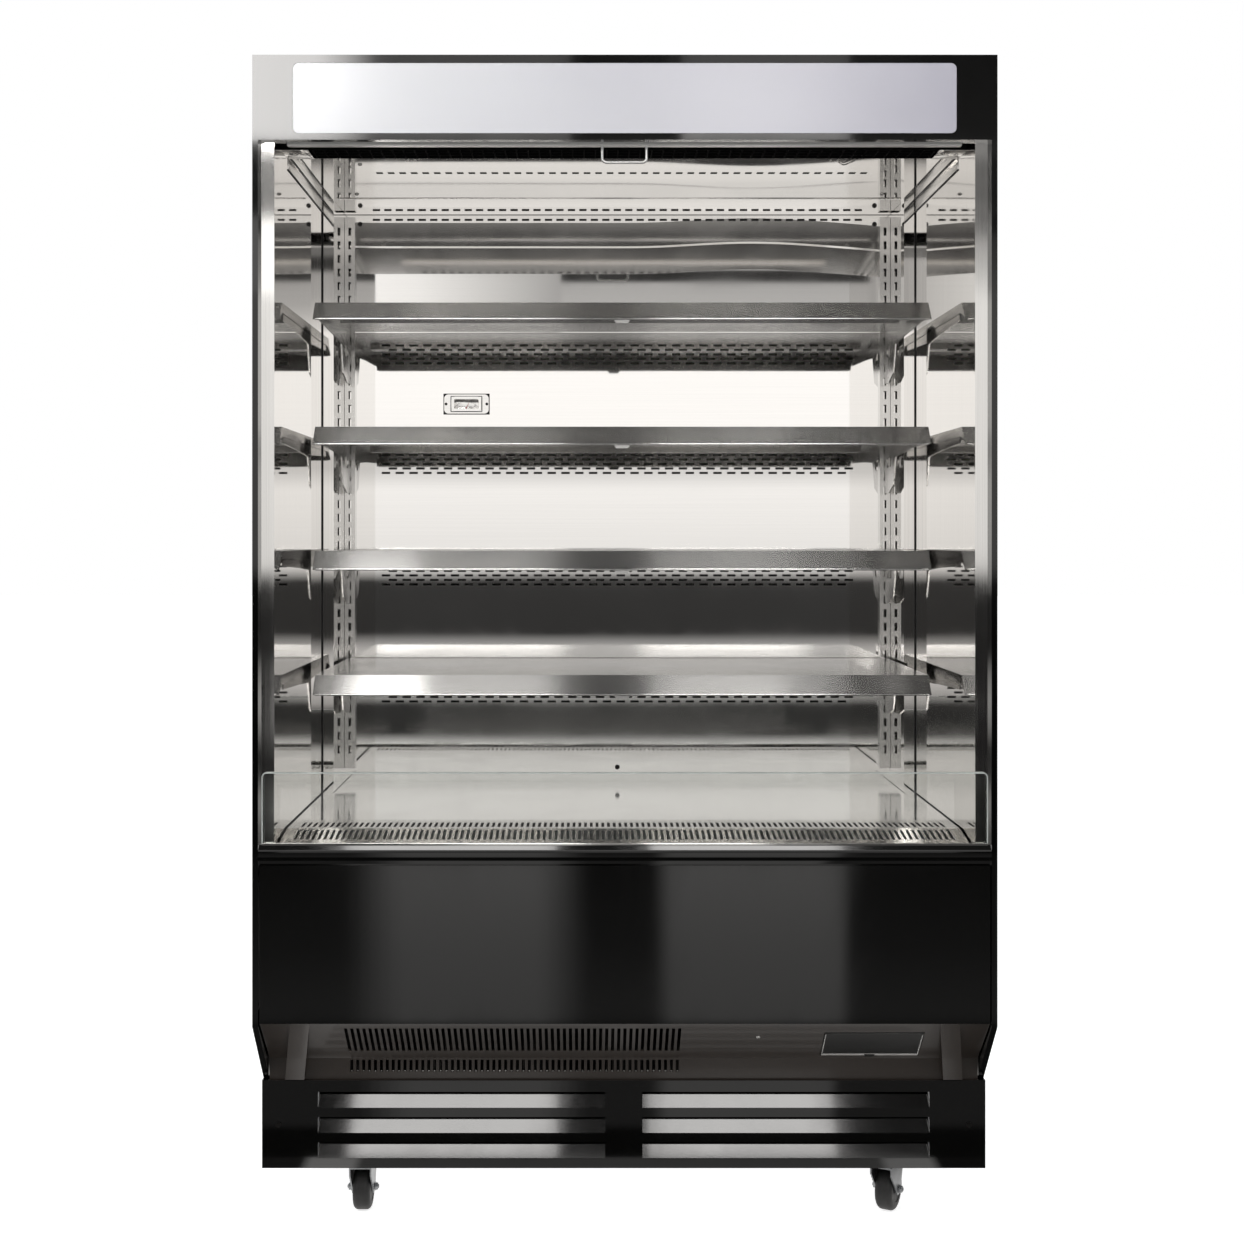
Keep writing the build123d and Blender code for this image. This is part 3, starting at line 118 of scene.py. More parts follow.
class Form:
    """One mesh under construction, with the shaping moves that the small pieces share."""

    def __init__(self) -> None:
        """Starts with an empty mesh."""
        self.mesh = bmesh.new()

    def slab(self, low: Sequence[float], high: Sequence[float], edge: float = 0.0006, steps: int = 2) -> Form:
        """Adds a block with rounded edges.

        Args:
            low: Lowest corner.
            high: Highest corner.
            edge: Radius of every edge.
            steps: Facets around each edge.

        Returns:
            This form.
        """
        low, high = Vector(low), Vector(high)
        size = high - low
        place = Matrix.Translation((low + high) / 2) @ Matrix.Diagonal((*size, 1.0))
        corners = bmesh.ops.create_cube(self.mesh, size=1.0, matrix=place)["verts"]
        edges = list({e for v in corners for e in v.link_edges})
        bmesh.ops.bevel(self.mesh, geom=edges, offset=min(edge, min(size) * 0.45), segments=steps,
                        profile=0.5, affect="EDGES")
        return self

    def loft(self, rings: Sequence[Sequence[Vector]], closed: bool = False, capped: bool = True) -> Form:
        """Skins a row of rings that all have the same number of points.

        Args:
            rings: Rings of points, in order.
            closed: True where the last ring joins the first.
            capped: True where the open ends get a face.

        Returns:
            This form.
        """
        made = [[self.mesh.verts.new(p) for p in ring] for ring in rings]
        pairs = list(zip(made, made[1:])) + ([(made[-1], made[0])] if closed else [])
        for one, other in pairs:
            for i in range(len(one)):
                j = (i + 1) % len(one)
                self.mesh.faces.new((one[i], one[j], other[j], other[i]))
        if capped and not closed:
            self.mesh.faces.new(list(reversed(made[0])))
            self.mesh.faces.new(made[-1])
        return self

    def lathe(self, profile: Sequence[tuple[float, float]], centre: Sequence[float], axis: Sequence[float],
              steps: int = 32, turn: float = 0.0) -> Form:
        """Turns a profile around an axis.

        Args:
            profile: Pairs of radius and height along the axis, from the bottom up, with no radius of zero.
            centre: The point on the axis at height zero.
            axis: Direction of the axis.
            steps: Points around the axis.
            turn: Angle of the first point, in radians.

        Returns:
            This form.
        """
        out = Vector(axis).normalized()
        side = out.orthogonal().normalized()
        across = out.cross(side)
        angles = [turn + math.tau * i / steps for i in range(steps)]
        rings = [[Vector(centre) + out * h + (side * math.cos(a) + across * math.sin(a)) * r for a in angles]
                 for r, h in profile]
        return self.loft(rings)

    def tube(self, path: Sequence[Vector], radius: float, sides: int = 10, closed: bool = False) -> Form:
        """Draws a round wire or pipe along a path, without twist.

        Args:
            path: Points along the middle of the tube.
            radius: Radius of the tube.
            sides: Points around the tube.
            closed: True where the tube joins itself.

        Returns:
            This form.
        """
        count = len(path)
        last = count - 1
        rings, normal = [], None
        for i, point in enumerate(path):
            before = path[(i - 1) % count] if closed else path[max(i - 1, 0)]
            after = path[(i + 1) % count] if closed else path[min(i + 1, last)]
            along = (after - before).normalized()
            normal = along.orthogonal() if normal is None else normal - along * normal.dot(along)
            normal.normalize()
            other = along.cross(normal)
            rings.append([point + (normal * math.cos(a) + other * math.sin(a)) * radius
                          for a in (math.tau * k / sides for k in range(sides))])
        return self.loft(rings, closed=closed)

    def prism(self, outline: Sequence[Sequence[float]], push: Sequence[float]) -> Form:
        """Adds a plate: a flat outline and its copy pushed away from it.

        Args:
            outline: Corners of one face, in order.
            push: The step from that face to the other one.

        Returns:
            This form.
        """
        near = [Vector(p) for p in outline]
        return self.loft([near, [p + Vector(push) for p in near]])

    def piece(self, name: str, finish: Finish, body: str = CABINET, crease: float = 35.0) -> bpy.types.Object:
        """Turns the form into a piece of the cabinet.

        Args:
            name: Name of the piece.
            finish: What it is made of.
            body: The body that it moves with.
            crease: Edges sharper than this many degrees stay sharp.

        Returns:
            The new object.
        """
        bmesh.ops.recalc_face_normals(self.mesh, faces=self.mesh.faces)
        data = bpy.data.meshes.new(name)
        self.mesh.to_mesh(data)
        self.mesh.free()
        data.polygons.foreach_set("use_smooth", [True] * len(data.polygons))
        data.set_sharp_from_angle(angle=math.radians(crease))
        made = link(bpy.data.objects.new(name, data))
        data.materials.append(material_of(finish))
        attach(made, body)
        log.info("piece %s rides on %s", name, body)
        return made


def bent(points: Iterable[Sequence[float]], bend: float, steps: int = 6) -> list[Vector]:
    """Rounds the corners of a route as a tube bender does.

    Args:
        points: Ends and corners of the route.
        bend: Radius of every bend.
        steps: Points along each bend.

    Returns:
        The points of the rounded route.
    """
    route = [Vector(p) for p in points]
    path = [route[0]]
    for before, corner, after in zip(route, route[1:], route[2:]):
        back, ahead = (before - corner), (after - corner)
        half = back.angle(ahead) / 2
        reach = min(bend / math.tan(half), back.length * 0.49, ahead.length * 0.49)
        start, end = corner + back.normalized() * reach, corner + ahead.normalized() * reach
        for i in range(steps + 1):
            t = i / steps
            path.append(start * (1 - t) ** 2 + corner * (2 * t * (1 - t)) + end * t * t)
    path.append(route[-1])
    return path


def ring(centre: Sequence[float], radius: float, axis: Sequence[float] = (0, 1, 0), steps: int = 48) -> list[Vector]:
    """Returns the points of a circle around an axis."""
    out = Vector(axis).normalized()
    side = out.orthogonal().normalized()
    across = out.cross(side)
    return [Vector(centre) + (side * math.cos(a) + across * math.sin(a)) * radius
            for a in (math.tau * i / steps for i in range(steps))]


def span(way: float, one: float, other: float) -> list[float]:
    """Returns the lower and the higher x of a strip that lies on one side of the middle."""
    return sorted((way * one, way * other))


def bar(name: str, finish: Finish, low: Sequence[float], high: Sequence[float], edge: float = 0.0006, steps: int = 2,
        body: str = CABINET) -> bpy.types.Object:
    """Makes a piece that is one block with rounded edges, and returns it."""
    return Form().slab(low, high, edge, steps).piece(name, finish, body)


def link(made: bpy.types.Object) -> bpy.types.Object:
    """Puts an object into the scene and returns it."""
    bpy.context.scene.collection.objects.link(made)
    return made


def pan_head(form: Form, place: Sequence[float], axis: Sequence[float], radius: float = 0.0035) -> None:
    """Adds a low domed screw head with a recess, standing at a place and pointing along an axis."""
    form.lathe([(r * radius, h * radius) for r, h in HEAD_PROFILE], place, axis, steps=20)


def hex_nut(form: Form, place: Sequence[float], axis: Sequence[float], across: float, thick: float) -> None:
    """Adds a nut with a washer face and the end of its bolt, all in proportion to the nut.

    Args:
        form: The form to add to.
        place: Middle of the face that the nut lies on.
        axis: The way that the nut points.
        across: Radius of the nut over its corners.
        thick: Height of the nut.
    """
    form.lathe([(across * 1.12, 0.0), (across * 1.12, thick * 0.16)], place, axis, steps=24)
    form.lathe([(across, thick * 0.16), (across, thick * 0.88), (across * 0.88, thick)], place, axis, steps=6)
    form.lathe([(across * 0.5, thick), (across * 0.5, thick * 1.3), (across * 0.38, thick * 1.42)], place, axis,
               steps=16)


# ---------------------------------------------------------------------------------------------------------------
# Finishes


class Graph:
    """A node tree, with short calls for the nodes that the finishes and the studio share."""

    def __init__(self, owner: bpy.types.Material | bpy.types.World) -> None:
        """Empties the tree of a material or world."""
        owner.use_nodes = True
        self.owner = owner
        self.tree = owner.node_tree
        self.tree.nodes.clear()

    @cached_property
    def place(self) -> bpy.types.NodeSocket:
        """The place on the object."""
        return self.node("ShaderNodeTexCoord").outputs["Object"]

    def node(self, kind: str, **settings: object) -> bpy.types.Node:
        """Adds a node of that kind and sets its properties."""
        made = self.tree.nodes.new(kind)
        for key, value in settings.items():
            setattr(made, key, value)
        return made

    def put(self, socket: bpy.types.NodeSocket, value: object) -> None:
        """Links a socket to another one, or sets its value.

        Args:
            socket: The input.
            value: An output to link, or a plain value.
        """
        if isinstance(value, bpy.types.NodeSocket):
            self.tree.links.new(value, socket)
        else:
            socket.default_value = value

    def feed(self, node: bpy.types.Node, **inputs: object) -> bpy.types.Node:
        """Sets or links a node's inputs by name, where an underscore stands for a space."""
        for key, value in inputs.items():
            self.put(node.inputs[key.replace("_", " ")], value)
        return node

    def scaled(self, scale: Sequence[float]) -> bpy.types.NodeSocket:
        """Returns the place on the object, stretched along its axes."""
        node = self.node("ShaderNodeMapping")
        return self.feed(node, Vector=self.place, Scale=scale).outputs["Vector"]

    def noise(self, scale: Sequence[float] | float, detail: float = 2.0, rough: float = 0.5,
              warp: float = 0.0) -> bpy.types.NodeSocket:
        """Returns cloudy noise between 0 and 1.

        Args:
            scale: Clouds per metre, for all axes or for each.
            detail: Octaves.
            rough: How much the octaves count.
            warp: How far the clouds are pulled out of shape.
        """
        vector = self.place if isinstance(scale, float) else self.scaled(scale)
        node = self.feed(self.node("ShaderNodeTexNoise"), Vector=vector, Detail=detail, Roughness=rough,
                         Distortion=warp, Scale=scale if isinstance(scale, float) else 1.0)
        return node.outputs["Fac"]

    def sum(self, operation: str, one: object, other: object = 0.0) -> bpy.types.NodeSocket:
        """Returns a sum, product or other operation of two values."""
        node = self.node("ShaderNodeMath", operation=operation)
        for socket, value in zip(node.inputs, (one, other)):
            self.put(socket, value)
        return node.outputs[0]

    def spread(self, value: bpy.types.NodeSocket, low: float, high: float, start: float = 0.3,
               end: float = 0.7) -> bpy.types.NodeSocket:
        """Returns a value between start and end as one between low and high."""
        node = self.node("ShaderNodeMapRange", clamp=True)
        return self.feed(node, Value=value, From_Min=start, From_Max=end, To_Min=low, To_Max=high).outputs["Result"]

    def blend(self, share: object, one: object, other: object) -> bpy.types.NodeSocket:
        """Returns a mix of two colours."""
        node = self.node("ShaderNodeMix", data_type="RGBA")
        for socket, value in ((node.inputs[0], share), (node.inputs[6], one), (node.inputs[7], other)):
            self.put(socket, value)
        return node.outputs[2]

    def axis(self, letter: str) -> bpy.types.NodeSocket:
        """Returns one coordinate of the place on the object."""
        return self.feed(self.node("ShaderNodeSeparateXYZ"), Vector=self.place).outputs[letter]

    def relief(self, height: bpy.types.NodeSocket, depth: float,
               under: bpy.types.NodeSocket | None = None) -> bpy.types.NodeSocket:
        """Returns a normal raised by a height between 0 and 1.

        Args:
            height: The height.
            depth: What a height of 1 means, in metres.
            under: A coarser relief that this one lies on.
        """
        node = self.feed(self.node("ShaderNodeBump"), Height=height, Distance=depth, Strength=1.0)
        if under is not None:
            self.tree.links.new(under, node.inputs["Normal"])
        return node.outputs["Normal"]

    def surface(self, **inputs: object) -> bpy.types.Material:
        """Closes the tree with a principled surface and returns the material."""
        return self.close(self.feed(self.node("ShaderNodeBsdfPrincipled"), **inputs))

    def close(self, shader: bpy.types.Node, kind: str = "ShaderNodeOutputMaterial") -> bpy.types.ID:
        """Joins a shader to the tree's output and returns what the tree belongs to."""
        self.tree.links.new(shader.outputs[0], self.node(kind).inputs["Surface"])
        return self.owner

    def seen(self) -> bpy.types.NodeSocket:
        """Returns 1 for rays from the camera, from shine and through glass, and 0 for light on matt surfaces."""
        path = self.node("ShaderNodeLightPath")
        shine = self.sum("MAXIMUM", path.outputs["Is Camera Ray"], path.outputs["Is Glossy Ray"])
        return self.sum("MAXIMUM", shine, path.outputs["Is Transmission Ray"])


def shade(tone: Sequence[float], share: float) -> tuple[float, float, float, float]:
    """Returns a tone made darker or lighter, as a colour with alpha."""
    return (*(min(part * share, 1.0) for part in tone), 1.0)


@dataclass(frozen=True)
class Finish:
    """What a surface is made of. Each kind of surface is a subclass with its own build method."""

    name: str
    slot: str
    tone: Triple
    roughness: float

    def mixed(self, g: Graph, share: bpy.types.NodeSocket, one: float, other: float) -> bpy.types.NodeSocket:
        """Returns a mix of two shades of the finish's tone."""
        return g.blend(share, shade(self.tone, one), shade(self.tone, other))

    def worn(self, g: Graph, value: bpy.types.NodeSocket, rise: float, start: float = 0.3,
             end: float = 0.7) -> bpy.types.NodeSocket:
        """Returns the finish's roughness, raised as a value goes from start to end."""
        return g.spread(value, self.roughness, self.roughness + rise, start, end)

    def build(self, g: Graph) -> bpy.types.Material:
        """Makes the material."""
        raise NotImplementedError


@dataclass(frozen=True)
class Steel(Finish):
    """Polished or ground stainless sheet: a fine grain, finger marks, and a slight wave where it is thin."""

    run: Run = Run.ACROSS
    grain: float = 0.000004
    wave: float = 0.0
    wave_size: Triple = (2.0, 2.0, 5.0)
    marks: float = 0.05
    shades: tuple[float, float] = (0.93, 1.03)
    smears: tuple[float, float] = (7.0, 0.6)        # finger marks per metre, and how far they are wiped
    flicker: float = 0.012                          # how far the grain changes the roughness

    def grind(self, g: Graph) -> tuple[bpy.types.NodeSocket, bpy.types.NodeSocket, bpy.types.NodeSocket]:
        """Returns the grain, the tone that it gives, and the roughness that finger marks give."""
        grain = g.noise(self.run.value, detail=3.0, rough=0.6)
        marks = g.noise(self.smears[0], detail=5.0, rough=0.62, warp=self.smears[1])
        dark, bright = (shade(self.tone, share) for share in self.shades)
        tone = g.blend(g.spread(grain, 0.0, 1.0), dark, bright)
        return grain, tone, self.worn(g, marks, self.marks)

    def swell(self, g: Graph) -> bpy.types.NodeSocket:
        """Returns the relief of the thin sheet's own wave."""
        return g.relief(g.noise(self.wave_size, detail=0.0), self.wave)

    def build(self, g: Graph) -> bpy.types.Material:
        """Makes the material."""
        grain, tone, rough = self.grind(g)
        normal = self.swell(g) if self.wave else None
        if self.grain:
            normal = g.relief(grain, self.grain, normal)
        rough = g.sum("ADD", rough, g.spread(grain, -self.flicker, self.flicker))
        return g.surface(Base_Color=tone, Metallic=1.0, Roughness=rough, Normal=normal)


@dataclass(frozen=True)
class BrushedSteel(Steel):
    """Stainless sheet ground along the cabinet, which draws every reflection out upright across the grain."""

    shades: tuple[float, float] = (0.94, 1.03)

    def build(self, g: Graph) -> bpy.types.Material:
        """Makes the material."""
        grain, tone, rough = self.grind(g)
        across = g.node("ShaderNodeTangent", direction_type="RADIAL", axis="X").outputs["Tangent"]
        return g.surface(Base_Color=tone, Metallic=1.0, Roughness=rough, Anisotropic=1.0, Tangent=across,
                         Normal=g.relief(grain, self.grain, self.swell(g)))


@dataclass(frozen=True)
class BuckledSteel(Steel):
    """Thin mirror-polished sheet that lies flat up to a height and bulges in long shallow steps above it.

    Each fold is its foot, its head and how far it comes forward. The height of the folds sways along the sheet, and
    the lowest of them is blurred over its crown.
    """

    shades: tuple[float, float] = (0.98, 1.01)
    smears: tuple[float, float] = (6.0, 0.8)
    folds: tuple[Triple, ...] = ((1.779, 1.834, 0.0031), (1.838, 1.888, 0.0028))
    sway: float = 0.022
    blur: float = 0.06
    crown: tuple[float, float] = (-0.004, 0.012)    # where the blur starts and ends, from the lowest fold's foot
    unit: float = 0.01                              # the depth that the bulge is counted in

    def build(self, g: Graph) -> bpy.types.Material:
        """Makes the material."""
        _, tone, rough = self.grind(g)
        sway = g.spread(g.noise((2.1, 0.0, 0.0), detail=0.0), -self.sway, self.sway, 0.2, 0.8)
        height = g.sum("ADD", g.axis("Z"), sway)
        bulge = 0.0
        for start, end, depth in self.folds:
            bulge = g.sum("ADD", g.spread(height, depth, 0.0, start, end), bulge)
        normal = g.relief(g.sum("MULTIPLY", bulge, 1 / self.unit), self.unit, self.swell(g))
        start, end = (self.folds[0][0] + step for step in self.crown)
        rough = g.sum("ADD", rough, g.spread(height, 0.0, self.blur, start, end))
        return g.surface(Base_Color=tone, Metallic=1.0, Roughness=rough, Normal=normal)


@dataclass(frozen=True)
class GlossPaint(Finish):
    """Baked gloss coat on sheet steel: orange peel, a slight wave of the sheet, dust and wiping marks."""

    peel: float = 0.000006
    wave: float = 0.0001
    dust: float = 0.03
    dust_tone: Triple = (0.32, 0.31, 0.30)

    def build(self, g: Graph) -> bpy.types.Material:
        """Makes the material."""
        dust = g.noise(90.0, detail=6.0, rough=0.75)
        wipes = g.noise((9.0, 9.0, 3.0), detail=4.0, rough=0.55, warp=1.2)
        share = g.spread(dust, 0.0, self.dust, 0.55, 0.8)
        tone = g.blend(share, shade(self.tone, 1.0), shade(self.dust_tone, 1.0))
        rough = self.worn(g, wipes, 0.05)
        wave = g.relief(g.noise(3.0, detail=0.0), self.wave)
        peel = g.relief(g.noise(420.0, detail=1.0), self.peel, wave)
        return g.surface(Base_Color=tone, Roughness=rough, Normal=peel, Coat_Weight=0.35, Coat_Roughness=0.04)


@dataclass(frozen=True)
class Moulded(Finish):
    """Moulded plastic with a fine eroded grain and worn, slightly paler patches."""

    grain: float = 0.00002
    shine: float = 0.5

    def build(self, g: Graph) -> bpy.types.Material:
        """Makes the material."""
        wear = g.noise(25.0, detail=4.0, rough=0.6)
        tone = self.mixed(g, g.spread(wear, 0.0, 1.0, 0.45, 0.75), 0.92, 1.18)
        rough = g.spread(wear, self.roughness - 0.05, self.roughness + 0.08)
        return g.surface(Base_Color=tone, Roughness=rough, Specular_IOR_Level=self.shine,
                         Normal=g.relief(g.noise(1400.0, detail=2.0), self.grain))


@dataclass(frozen=True)
class SignPlate(Finish):
    """Opal acrylic: white, turning violet grey along the plate as painted falloff of the light on it, with a satin
    face and a trace of light in it.
    """

    # violet grey at the right end of the plate's painted falloff of light
    painted_shade_tone: Triple = (0.43, 0.42, 0.48)
    span: float = 0.6

    def build(self, g: Graph) -> bpy.types.Material:
        """Makes the material."""
        # painted falloff of light: the plate darkens from white at the left to violet grey at the right
        painted_falloff = g.spread(g.axis("X"), 0.0, 1.0, -self.span, self.span)
        cloud = g.noise((2.0, 1.0, 6.0), detail=1.0)
        share = g.sum("ADD", painted_falloff, g.spread(cloud, -0.06, 0.06))
        tone = g.blend(share, shade(self.tone, 1.0), shade(self.painted_shade_tone, 1.0))
        rough = g.spread(g.noise(60.0, detail=4.0), self.roughness, self.roughness + 0.06)
        return g.surface(Base_Color=tone, Roughness=rough, Normal=g.relief(g.noise(800.0), 0.000004),
                         Subsurface_Weight=0.15, Subsurface_Radius=(0.004, 0.004, 0.005))


@dataclass(frozen=True)
class Glass(Finish):
    """Clear or smoked sheet that light passes through, with faint wiping marks."""

    def build(self, g: Graph) -> bpy.types.Material:
        """Makes the material."""
        marks = g.noise((14.0, 14.0, 5.0), detail=5.0, rough=0.7, warp=1.0)
        tone = self.mixed(g, g.spread(marks, 0.0, 1.0, 0.5, 0.8), 1.0, 0.96)
        rough = self.worn(g, marks, 0.02, 0.5, 0.8)
        return g.surface(Base_Color=tone, Roughness=rough, Transmission_Weight=1.0, IOR=1.5)


@dataclass(frozen=True)
class Zinc(Finish):
    """Zinc on steel: crystals of slightly different shine, with duller handled patches."""

    crystals: float = 140.0

    def build(self, g: Graph) -> bpy.types.Material:
        """Makes the material."""
        cells = g.feed(g.node("ShaderNodeTexVoronoi"), Vector=g.place, Scale=self.crystals)
        bright = g.feed(g.node("ShaderNodeSeparateColor"), Color=cells.outputs["Color"]).outputs[0]
        dull = g.noise(30.0, detail=4.0, rough=0.6)
        tone = self.mixed(g, bright, 0.84, 1.08)
        rough = g.sum("ADD", self.worn(g, dull, 0.12),
                      g.spread(bright, -0.04, 0.04, 0.0, 1.0))
        return g.surface(Base_Color=tone, Metallic=1.0, Roughness=rough, Normal=g.relief(dull, 0.00002))


@dataclass(frozen=True)
class Fins(Finish):
    """Thin aluminium fins packed along x, seen as fine upright lines with painted shade in the gaps between them."""

    pitch: float = 0.0028
    dirt_tone: Triple = (0.30, 0.27, 0.24)

    def build(self, g: Graph) -> bpy.types.Material:
        """Makes the material."""
        phase = g.sum("MULTIPLY", g.axis("X"), math.tau / self.pitch)
        line = g.spread(g.sum("SINE", phase), 0.0, 1.0, -0.6, 0.8)
        dirt = g.noise(22.0, detail=5.0, rough=0.65)
        fin = g.blend(g.spread(dirt, 0.0, 0.5, 0.5, 0.8), shade(self.tone, 1.0), shade(self.dirt_tone, 1.0))
        # painted shade in the gaps between the fins: a sixth of the fins' tone
        tone = g.blend(line, shade(self.tone, 0.16), fin)
        return g.surface(Base_Color=tone, Metallic=0.7, Roughness=self.worn(g, dirt, 0.2),
                         Normal=g.relief(line, 0.0006))


@dataclass(frozen=True)
class Woven(Finish):
    """Coated woven cloth: threads over and under in both directions, with a little sheen."""

    threads: float = 1500.0

    def build(self, g: Graph) -> bpy.types.Material:
        """Makes the material."""
        warp = g.sum("SINE", g.sum("MULTIPLY", g.axis("X"), self.threads))
        weft = g.sum("SINE", g.sum("MULTIPLY", g.axis("Z"), self.threads))
        cloth = g.spread(g.sum("MULTIPLY", warp, weft), 0.0, 1.0, -1.0, 1.0)
        slub = g.noise((40.0, 40.0, 500.0), detail=3.0)
        tone = self.mixed(g, cloth, 0.86, 1.06)
        tone = g.blend(g.spread(slub, 0.0, 0.25, 0.5, 0.8), tone, shade(self.tone, 0.7))
        return g.surface(Base_Color=tone, Roughness=self.worn(g, slub, 0.1),
                         Normal=g.relief(cloth, 0.00012), Sheen_Weight=0.25, Sheen_Roughness=0.4)


@dataclass(frozen=True)
class Rubber(Finish):
    """Soft rubber greyed by dust: the tyres, and the black lines of painted shade in the cabinet's joints."""

    def build(self, g: Graph) -> bpy.types.Material:
        """Makes the material."""
        dust = g.noise(45.0, detail=5.0, rough=0.7)
        tone = self.mixed(g, g.spread(dust, 0.0, 0.4, 0.45, 0.8), 1.0, 2.4)
        rough = g.spread(dust, self.roughness - 0.1, self.roughness + 0.1)
        return g.surface(Base_Color=tone, Roughness=rough, Normal=g.relief(g.noise(900.0, detail=3.0), 0.00003))


@dataclass(frozen=True)
class Copper(Finish):
    """Drawn copper tube with patches of brown tarnish."""

    tarnish_tone: Triple = (0.30, 0.13, 0.07)

    def build(self, g: Graph) -> bpy.types.Material:
        """Makes the material."""
        tarnish = g.noise(32.0, detail=5.0, rough=0.6, warp=0.5)
        share = g.spread(tarnish, 0.0, 1.0, 0.4, 0.75)
        tone = g.blend(share, shade(self.tone, 1.0), shade(self.tarnish_tone, 1.0))
        rough = self.worn(g, tarnish, 0.25)
        return g.surface(Base_Color=tone, Metallic=1.0, Roughness=rough, Normal=g.relief(tarnish, 0.00002))


@lru_cache(maxsize=None)
def material_of(finish: Finish) -> bpy.types.Material:
    """Returns the material of a finish, which is made once."""
    return finish.build(Graph(bpy.data.materials.new(finish.name)))


BLACK_PANEL = GlossPaint("black_gloss_panel", "painted_black_panel", (0.0012, 0.0012, 0.0011), 0.05, dust=0.004)
# the panels' black paint made brown and many times lighter: painted light from the floor on the undercut's slope
LIT_BLACK_UNDERCUT = GlossPaint("black_gloss_undercut_painted_light", "painted_black_panel", (0.026, 0.020, 0.016), 0.30)
LINER = Steel("mirror_liner", "polished_liner", (0.80, 0.785, 0.765), 0.02, Run.UPWARD, 0.0, 0.00012, marks=0.03)
BACK_WALL = BuckledSteel("mirror_back_wall", "polished_liner", (0.85, 0.838, 0.82), 0.02, Run.ACROSS, 0.0, 0.00022,
                         marks=0.03)
CEILING = Steel("mirror_ceiling", "polished_liner", (0.80, 0.785, 0.765), 0.03, Run.ACROSS, 0.0, 0.0003,
                (1.6, 5.0, 2.0), marks=0.03)
EDGE_TRIM = Steel("edge_trim_steel", "edge_trim_steel", (0.82, 0.81, 0.79), 0.05, Run.UPWARD, 0.000001, 0.0001)
SHELF = BrushedSteel("shelf_steel", "shelf_steel", (0.56, 0.555, 0.545), 0.16, Run.ACROSS, 0.0000002, 0.00004,
                     marks=0.02)
DECK = Steel("deck_steel", "shelf_steel", (0.56, 0.55, 0.54), 0.07, Run.ACROSS, 0.000001, 0.0001)
BRACKET = Steel("bracket_steel", "bracket_steel", (0.62, 0.61, 0.595), 0.22, Run.INWARD, 0.000003)
UPRIGHT = Steel("upright_steel", "bracket_steel", (0.70, 0.69, 0.67), 0.18, Run.UPWARD, 0.000003)
GRILLE_STEEL = Steel("grille_steel", "shelf_steel", (0.66, 0.65, 0.63), 0.17, Run.ACROSS, 0.000002)
SCREW = Steel("screw_steel", "screw_steel", (0.58, 0.57, 0.55), 0.25, Run.ACROSS, 0.000003)
BLACK_SCREW = Steel("blackened_screw", "screw_steel", (0.035, 0.034, 0.033), 0.35, Run.ACROSS, 0.000003)
BAR_ALUMINIUM = Steel("bar_aluminium", "curtain_bar_aluminium", (0.66, 0.66, 0.65), 0.28, Run.ACROSS, 0.000004)
GALVANISED = Zinc("galvanised_sheet", "galvanised_sheet", (0.58, 0.59, 0.60), 0.38)
# zinc at about half the galvanised sheet's tone: painted shade for the casters and nuts under the cabinet
SHADED_CASTER_ZINC = Zinc("caster_zinc_painted_shade", "zinc_caster", (0.30, 0.31, 0.32), 0.30, 320.0)
OUTLET = Moulded("black_air_outlet", "black_outlet", (0.002, 0.002, 0.002), 0.8, shine=0.1)
BLACK_PLASTIC = Moulded("black_plastic", "black_plastic", (0.012, 0.012, 0.012), 0.42)
CASSETTE = Moulded("cassette_grey", "cassette_grey", (0.30, 0.31, 0.32), 0.45)
FAN_PLASTIC = Moulded("fan_plastic", "fan_plastic", (0.02, 0.02, 0.022), 0.4)
PEDAL = Moulded("pedal_black", "pedal_black", (0.016, 0.016, 0.017), 0.45)
DIAL_RED = Moulded("dial_red", "thermometer_shell", (0.55, 0.03, 0.02), 0.4, 0.000004)
THERMOMETER = Steel("thermometer_steel", "thermometer_shell", (0.82, 0.81, 0.79), 0.12, Run.ACROSS, 0.000001)
# pale copy of the smoked flap's material: the painted highlight along the flap's edges
FLAP_EDGE_HIGHLIGHT = Moulded("flap_edge_painted_highlight", "flap_smoke", (0.42, 0.41, 0.39), 0.18, 0.000006)
LIGHT_STRIP = Moulded("light_strip", "light_strip", (0.80, 0.80, 0.76), 0.4, 0.000006)
INSULATION = Moulded("insulation_skin", "insulation_skin", (0.46, 0.46, 0.44), 0.5, 0.0001)
COMPRESSOR = GlossPaint("compressor_black", "compressor_black", (0.010, 0.010, 0.011), 0.28, 0.00006, 0.0)
SIGN = SignPlate("opal_sign", "sign_white", (0.72, 0.725, 0.74), 0.16)
GUARD_GLASS = Glass("guard_glass", "guard_glass", (0.97, 0.985, 0.975), 0.0)
# opaque pale strip in the glass's slot: the painted highlight along the glass's edges
GLASS_EDGE_HIGHLIGHT = Moulded("glass_edge_painted_highlight", "guard_glass", (0.42, 0.45, 0.43), 0.22, 0.00001)
SMOKE = Glass("smoked_flap", "flap_smoke", (0.03, 0.028, 0.026), 0.30)
COIL = Fins("coil_fins", "coil_fins", (0.60, 0.60, 0.59), 0.35)
# condenser fins made near black, far darker than the evaporator's aluminium fins
DARK_COIL = Fins("near_black_coil_fins", "coil_fins", (0.02, 0.02, 0.02), 0.6)
CLOTH = Woven("night_curtain_weave", "curtain_cloth", (0.56, 0.57, 0.58), 0.6)
TYRE = Rubber("caster_tyre", "caster_tyre", (0.0045, 0.0043, 0.0042), 0.55)
